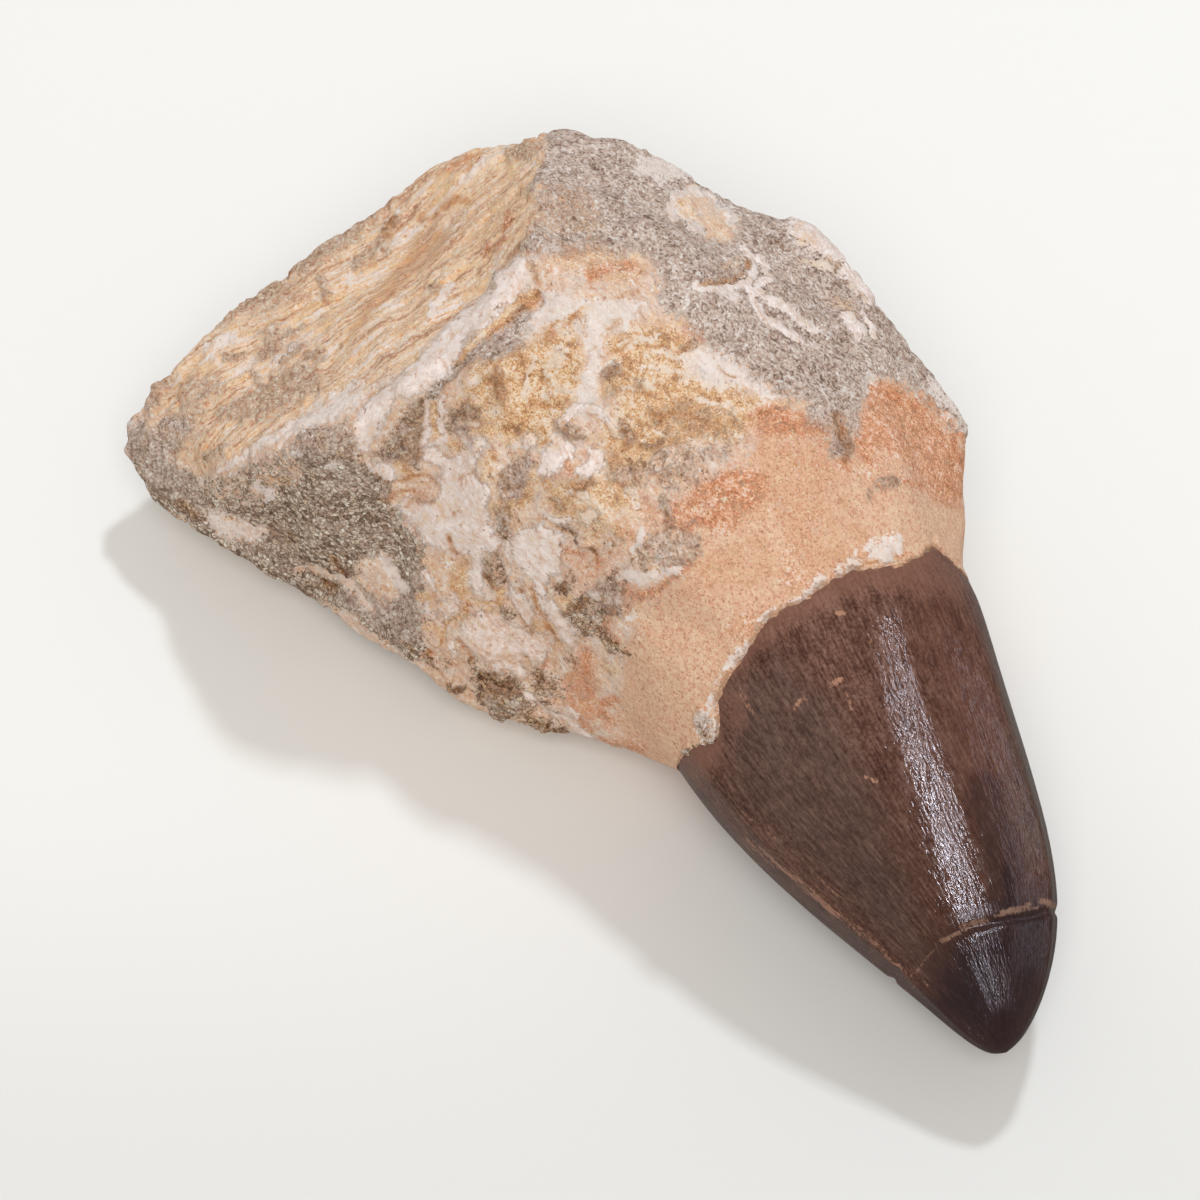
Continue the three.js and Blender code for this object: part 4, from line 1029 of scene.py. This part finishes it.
crownMarks = {  # as for the stone
    "halo": [
        (0, 0.5, (968, 582), (945, 556), (930, 548), (900, 566), (850, 572), (826, 584), (800, 602),
         (770, 616), (752, 645), (740, 668), (756, 655), (790, 625), (830, 604), (870, 592), (920, 588),
         (960, 600)), (0, 0.7, (680, 760), (695, 750), (718, 745), (720, 760), (700, 785), (685, 775)),
        (16, 0.3, (735, 700), (736, 720)),
    ],
    "worn": [
        (9, 0.1, (745, 842), (790, 872), (832, 908)), (7, 0.05, (832, 908), (860, 932), (925, 985)),
        (7, 0.3, (812, 893), (838, 915)), (6, 0.3, (772, 860), (800, 882)),
        (3, 0.1, (855, 925), (880, 950), (905, 970)), (3, 0.1, (800, 862), (850, 905)),
        (3, 0.05, (720, 790), (745, 815), (775, 838)), (5, 0.8, (836, 613), (846, 613)),
        (7, 0.5, (832, 685), (842, 680)), (5, 0.4, (793, 711), (800, 701), (806, 699)),
        (4, 0.3, (846, 692), (852, 708)), (5, 0.5, (866, 776), (878, 782)),
        (3, 0.8, (829, 784), (831, 784)), (4, 0.3, (870, 640), (874, 642)),
        (3, 0.9, (912, 987), (914, 987)), (4, 0.1, (740, 690), (752, 712)),
    ],
    "filler": [
        (8, 0.5, (1042, 901), (1054, 906)), (5, 0.2, (1002, 913), (1030, 905)),
        (8, 0.3, (962, 927), (985, 921)), (5, 0.3, (940, 941), (965, 930)),
        (2, 0.05, (916, 972), (938, 946)), (2.5, 0.05, (990, 918), (1052, 904)),
    ],
    "dull": [
        (8, 0.2, (950, 918), (1000, 908)),
    ],
    "red": [
        (0, 0.6, (905, 575), (955, 585), (1000, 690), (1010, 800), (980, 810), (950, 720), (920, 650)),
        (5, 0.5, (722, 752), (730, 768), (745, 785)),
    ],
    # greyish enamel on the left, and painted reflection along the right flank and beside the tip
    "greyAndSheen": [
        (0, 0.6, (725, 690), (780, 650), (830, 700), (880, 800), (915, 900), (930, 980), (860, 920),
         (780, 850), (720, 790)), (20, 0.5, (1034, 915), (1031, 1010)),
        (0, 0.8, (940, 955), (975, 950), (990, 1005), (975, 1035), (945, 1005)),
        (20, 0.4, (1010, 700), (1038, 850)),
    ],
    "dark": [
        (26, 0.0, (985, 790), (1000, 850), (1010, 905)), (16, 0.6, (1008, 870), (1012, 910)),
        (30, 1, (1010, 905), (1012, 985), (1000, 1045)),
        (0, 1, (985, 905), (1060, 895), (1060, 960), (1030, 1050), (1010, 1065), (985, 1060), (925, 1010),
         (945, 945)),
    ],
}


def buildCrown():
    crown = copyOfNode("crown", "enamelCrown")
    takeUp(crown)
    bpy.ops.object.mode_set(mode="EDIT")
    bpy.ops.mesh.select_all(action="SELECT")
    bpy.ops.mesh.tris_convert_to_quads(face_threshold=math.radians(70), shape_threshold=math.radians(70))
    bpy.ops.object.mode_set(mode="OBJECT")
    applyModifier(crown, "SUBSURF", levels=crownSet["levels"], render_levels=crownSet["levels"])
    print("crown subdivided:", len(crown.data.polygons), "faces")
    return crown


def sculptCrown(crown):
    points = pointsOf(crown)
    x, deg, out = crownPlace(points)
    angle = np.radians(deg)
    radius = crownSet["wallRadius"]
    onDrum = np.stack([radius * np.cos(angle), radius * np.sin(angle), x], -1)  # the wall as an even drum
    wave = 0.8 * np.sin(angle + 0.6) + 0.35 * np.sin(3 * angle)
    onWall = smoothStep(x, -8.5, -6) * (1 - smoothStep(x, crownLength - 1.5, crownLength))
    push = crownSet["undulation"] * lumps(onDrum * (1, 1, 0.22), 3.5, 41, 2) * smoothStep(x, -3, 6)
    fromBreak = x - crownForm["breakAt"] - wave
    push -= crownForm["breakDepth"] * np.exp(-(fromBreak / crownForm["breakWidth"]) ** 2)
    radial = points - crownMiddle(x)
    radial /= np.maximum(np.linalg.norm(radial, axis=1), 1e-6)[:, None]
    points = points + (onWall * (push - out))[:, None] * radial
    setPoints(crown, points)
    places = onView(points)
    places = places + crownSet["sway"] * np.stack([lumps(points, 1.4, 43, 2), lumps(points, 1.4, 44, 2)], -1)
    seen = seenFromCamera(crown, [])
    for name, marks in crownMarks.items():
        field = paintField(places, marks, crownSet["softest"].get(name, 12.0))
        store(crown, name, np.where(seen, field, np.minimum(field, -0.6)))
    store(crown, "striae", onDrum * (1, 1, crownSet["striaeLength"]) * mm)
    store(crown, "fromEdge", x - enamelEdge(deg))
    takeUp(crown)
    bpy.ops.object.shade_smooth()
    print("crown shaped")


def enamelMaterial():
    material, tree, shader = newMaterial("enamel")
    place = addNode(tree, "TexCoord").outputs["Object"]
    striae = layerOf(tree, "striae", "Vector")
    fromEdge = layerOf(tree, "fromEdge")
    c = crownSet["colours"]
    lines = speckle(tree, striae, 0.2, 3, 0.7)
    bands = speckle(tree, striae, 1.2, 4, 0.65)
    patches = speckle(tree, place, 3.0, 5, 0.65)
    fine = speckle(tree, place, 0.35, 3, 0.7)
    shorter = addNode(tree, "VectorMath", {0: striae, 1: (1, 1, 2.6)}, operation="MULTIPLY").outputs[0]
    ridges = speckle(tree, shorter, 0.3, 2)
    wobble = mixOf(tree, (lines, 1.2), (bands, 1.4), (fine, 1.4))
    frayed = {name: scaled(tree, wobble, 1.0, layerOf(tree, name)) for name in crownMarks}

    value = mixOf(tree, (bands, 0.3), (lines, 0.7), (patches, 0.4), (fine, 0.8), middle=0.5)
    colour = shades(tree, value, (0.3, c["deep"]), (0.5, c["brown"]), (0.72, c["pale"]))
    colour = coats(tree, colour,
                   (scaled(tree, wobble, 8.0, fromEdge), 5.0, 34.0, 0.52, c["deep"]),  # darker to the tip
                   # the grey marks: greyish enamel, and painted reflection on the right flank
                   (frayed["red"], -0.8, 0.8, 0.55, c["red"]), (frayed["greyAndSheen"], -0.6, 1.0, 0.5, c["greyAndSheen"]),
                   # painted highlight on the striae ridges and painted shade between them
                   (ridges, 0.54, 0.68, 0.34, c["pale"]), (ridges, 0.46, 0.32, 0.5, c["deep"]),
                   (frayed["dark"], -0.8, 0.8, 0.8, c["dark"]),
                   (scaled(tree, wobble, 1.8, fromEdge), 0.9, -0.3, 0.45, c["halo"]),  # warm where it starts
                   (frayed["halo"], -0.9, 0.9, 0.6, c["halo"]), (frayed["worn"], 0.0, 0.5, 0.9, c["worn"]),
                   (frayed["filler"], -0.1, 0.4, 1, c["filler"]))

    broken = mixOf(tree, (bands, 1.0), (patches, 1.0), (fine, 0.4), middle=0.5)
    rough = scaled(tree, fine, crownSet["roughSpread"], crownSet["roughness"])
    for value, low, high, most in ((frayed["filler"], -0.1, 0.4, crownSet["fillerRough"]),
                                   (broken, 0.48, 0.62, crownSet["brokenRough"]),
                                   (frayed["dull"], -0.6, 0.6, crownSet["dullRough"])):
        rough = scaled(tree, rough, 1.0, between(tree, value, low, high, most))
    bump = addNode(tree, "Bump", {"Height": mixOf(tree, (ridges, 1.05), (bands, 0.5)), "Strength": 1.0,
                                  "Distance": crownSet["bumpDepth"] * mm})
    settle(tree, shader, {"Base Color": colour, "Roughness": rough, "IOR": crownSet["ior"],
                          "Specular IOR Level": crownSet["gloss"], "Normal": bump.outputs[0]})
    return material


lightSet = {
    "skyLevel": 0.46, "skyTone": (1.0, 0.955, 0.9, 1), "skySheen": 0.16,
    "keyTurn": 122, "keyHeight": 62, "keySize": 0.08, "keyDistance": 1.0, "keyPower": 3.5,
    "keyTone": (0.92, 1.0, 1.09),
    "fillTurn": -36, "fillHeight": 58, "fillSize": 1.0, "fillDistance": 2.0, "fillPower": 19.5,
    "fillTone": (1.0, 0.99, 0.97),
    "gleams": {  # long lamps round the crown: from, to, width, power, colour
        "collar": ((0.215, 0.653, 0.728), (0.44, 0.38, 0.815), 0.014, 0.85, (0.93, 0.94, 1.08)),
        "strip": ((0.45, 0.36, 0.82), (0.724, -0.344, 0.592), 0.015, 4.0, (0.93, 0.94, 1.08)),
        "tip": ((0.745, -0.36, 0.565), (0.9, -0.3, 0.34), 0.016, 1.5, (0.93, 0.94, 1.08)),
        "sheen": ((0.15, 0.75, 0.12), (0.62, 0.42, 0.05), 0.1, 0.38, (0.86, 0.86, 1.0)),
    },
    "lampAim": (0.018, 0, 0.02), "gleamCentre": (0.06, 0.0, 0.015),
    "floorSize": 4, "floorTone": (0.836, 0.828, 0.804, 1), "floorNearShade": (0.745, 0.74, 0.725, 1),
    "floorWay": (-0.81, 0.588, 0), "floorFade": (-0.062, -0.004),  # painted shade: the floor is darker towards the camera; the way the floor gets paler, and where
}


def studioLamp(name):  # a square lamp aimed at the middle of the part
    turn, high = math.radians(lightSet[name + "Turn"]), math.radians(lightSet[name + "Height"])
    off = Vector((math.cos(turn) * math.cos(high), math.sin(turn) * math.cos(high), math.sin(high)))
    place = Vector(lightSet["lampAim"]) + off * lightSet[name + "Distance"]
    bpy.ops.object.light_add(type="AREA", location=place)
    lamp = bpy.context.object
    lamp.name = name + "Light"
    lamp.data.size = lightSet[name + "Size"]
    lamp.data.energy = lightSet[name + "Power"]
    lamp.data.color = lightSet[name + "Tone"]
    lamp.rotation_euler = off.to_track_quat("Z", "Y").to_euler()
    return lamp


def gleamLamp(name, start, end, width, power, colour):  # only shows as a gleam on the enamel
    middle, run = (start + end) / 2, (end - start).normalized()
    bpy.ops.object.light_add(type="AREA", location=(0, 0, 0))
    lamp = bpy.context.object
    lamp.name = name + "Light"
    lamp.data.shape = "RECTANGLE"
    lamp.data.size, lamp.data.size_y = (end - start).length, width
    lamp.data.energy = power
    lamp.data.color = colour
    lamp.visible_diffuse = False
    side = middle.cross(run).normalized()
    lamp.matrix_world = Matrix((run, side, run.cross(side))).transposed().to_4x4()
    lamp.location = Vector(lightSet["gleamCentre"]) + middle


def buildStage():
    world = bpy.data.worlds.new("studio")
    bpy.context.scene.world = world
    world.use_nodes = True
    tree = world.node_tree
    mirrored = addNode(tree, "LightPath").outputs["Is Glossy Ray"]  # the room is dimmer in reflections
    level = scaled(tree, mirrored, lightSet["skySheen"] - lightSet["skyLevel"], lightSet["skyLevel"])
    settle(tree, tree.nodes["Background"], {0: lightSet["skyTone"], 1: level})
    studioLamp("key")
    studioLamp("fill").visible_glossy = False
    for name, (start, end, width, power, colour) in lightSet["gleams"].items():
        gleamLamp(name, Vector(start), Vector(end), width, power, colour)
    bpy.ops.mesh.primitive_plane_add(size=lightSet["floorSize"], location=(0.02, 0, 0))
    floor = bpy.context.object
    floor.name = "floor"
    floor.visible_glossy = False
    material, tree, shader = newMaterial("paleFloor")
    place = addNode(tree, "TexCoord").outputs["Object"]
    # painted shade: the floor's colour darkens towards the camera
    away = addNode(tree, "VectorMath", {0: place, 1: lightSet["floorWay"]}, operation="DOT_PRODUCT")
    shade = between(tree, away.outputs["Value"], *lightSet["floorFade"])
    colour = blend(tree, shade, lightSet["floorNearShade"], lightSet["floorTone"])
    settle(tree, shader, {"Base Color": colour, "Roughness": 1.0, "Specular IOR Level": 0.0})
    floor.data.materials.append(material)
    bpy.context.scene.view_settings.view_transform = "Standard"
    print("stage set")


stone = buildStone()
crown = buildCrown()
sculptCrown(crown)
fields, relief, seen = paintStone(stone, crown)
sculptStone(stone, fields, relief)
thinHiddenSide(stone, seen)
stone.data.materials.append(stoneMaterial())
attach(stone, "root")
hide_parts("tooth_root")
crown.data.materials.append(enamelMaterial())
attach(crown, "root")
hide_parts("crown")
buildStage()
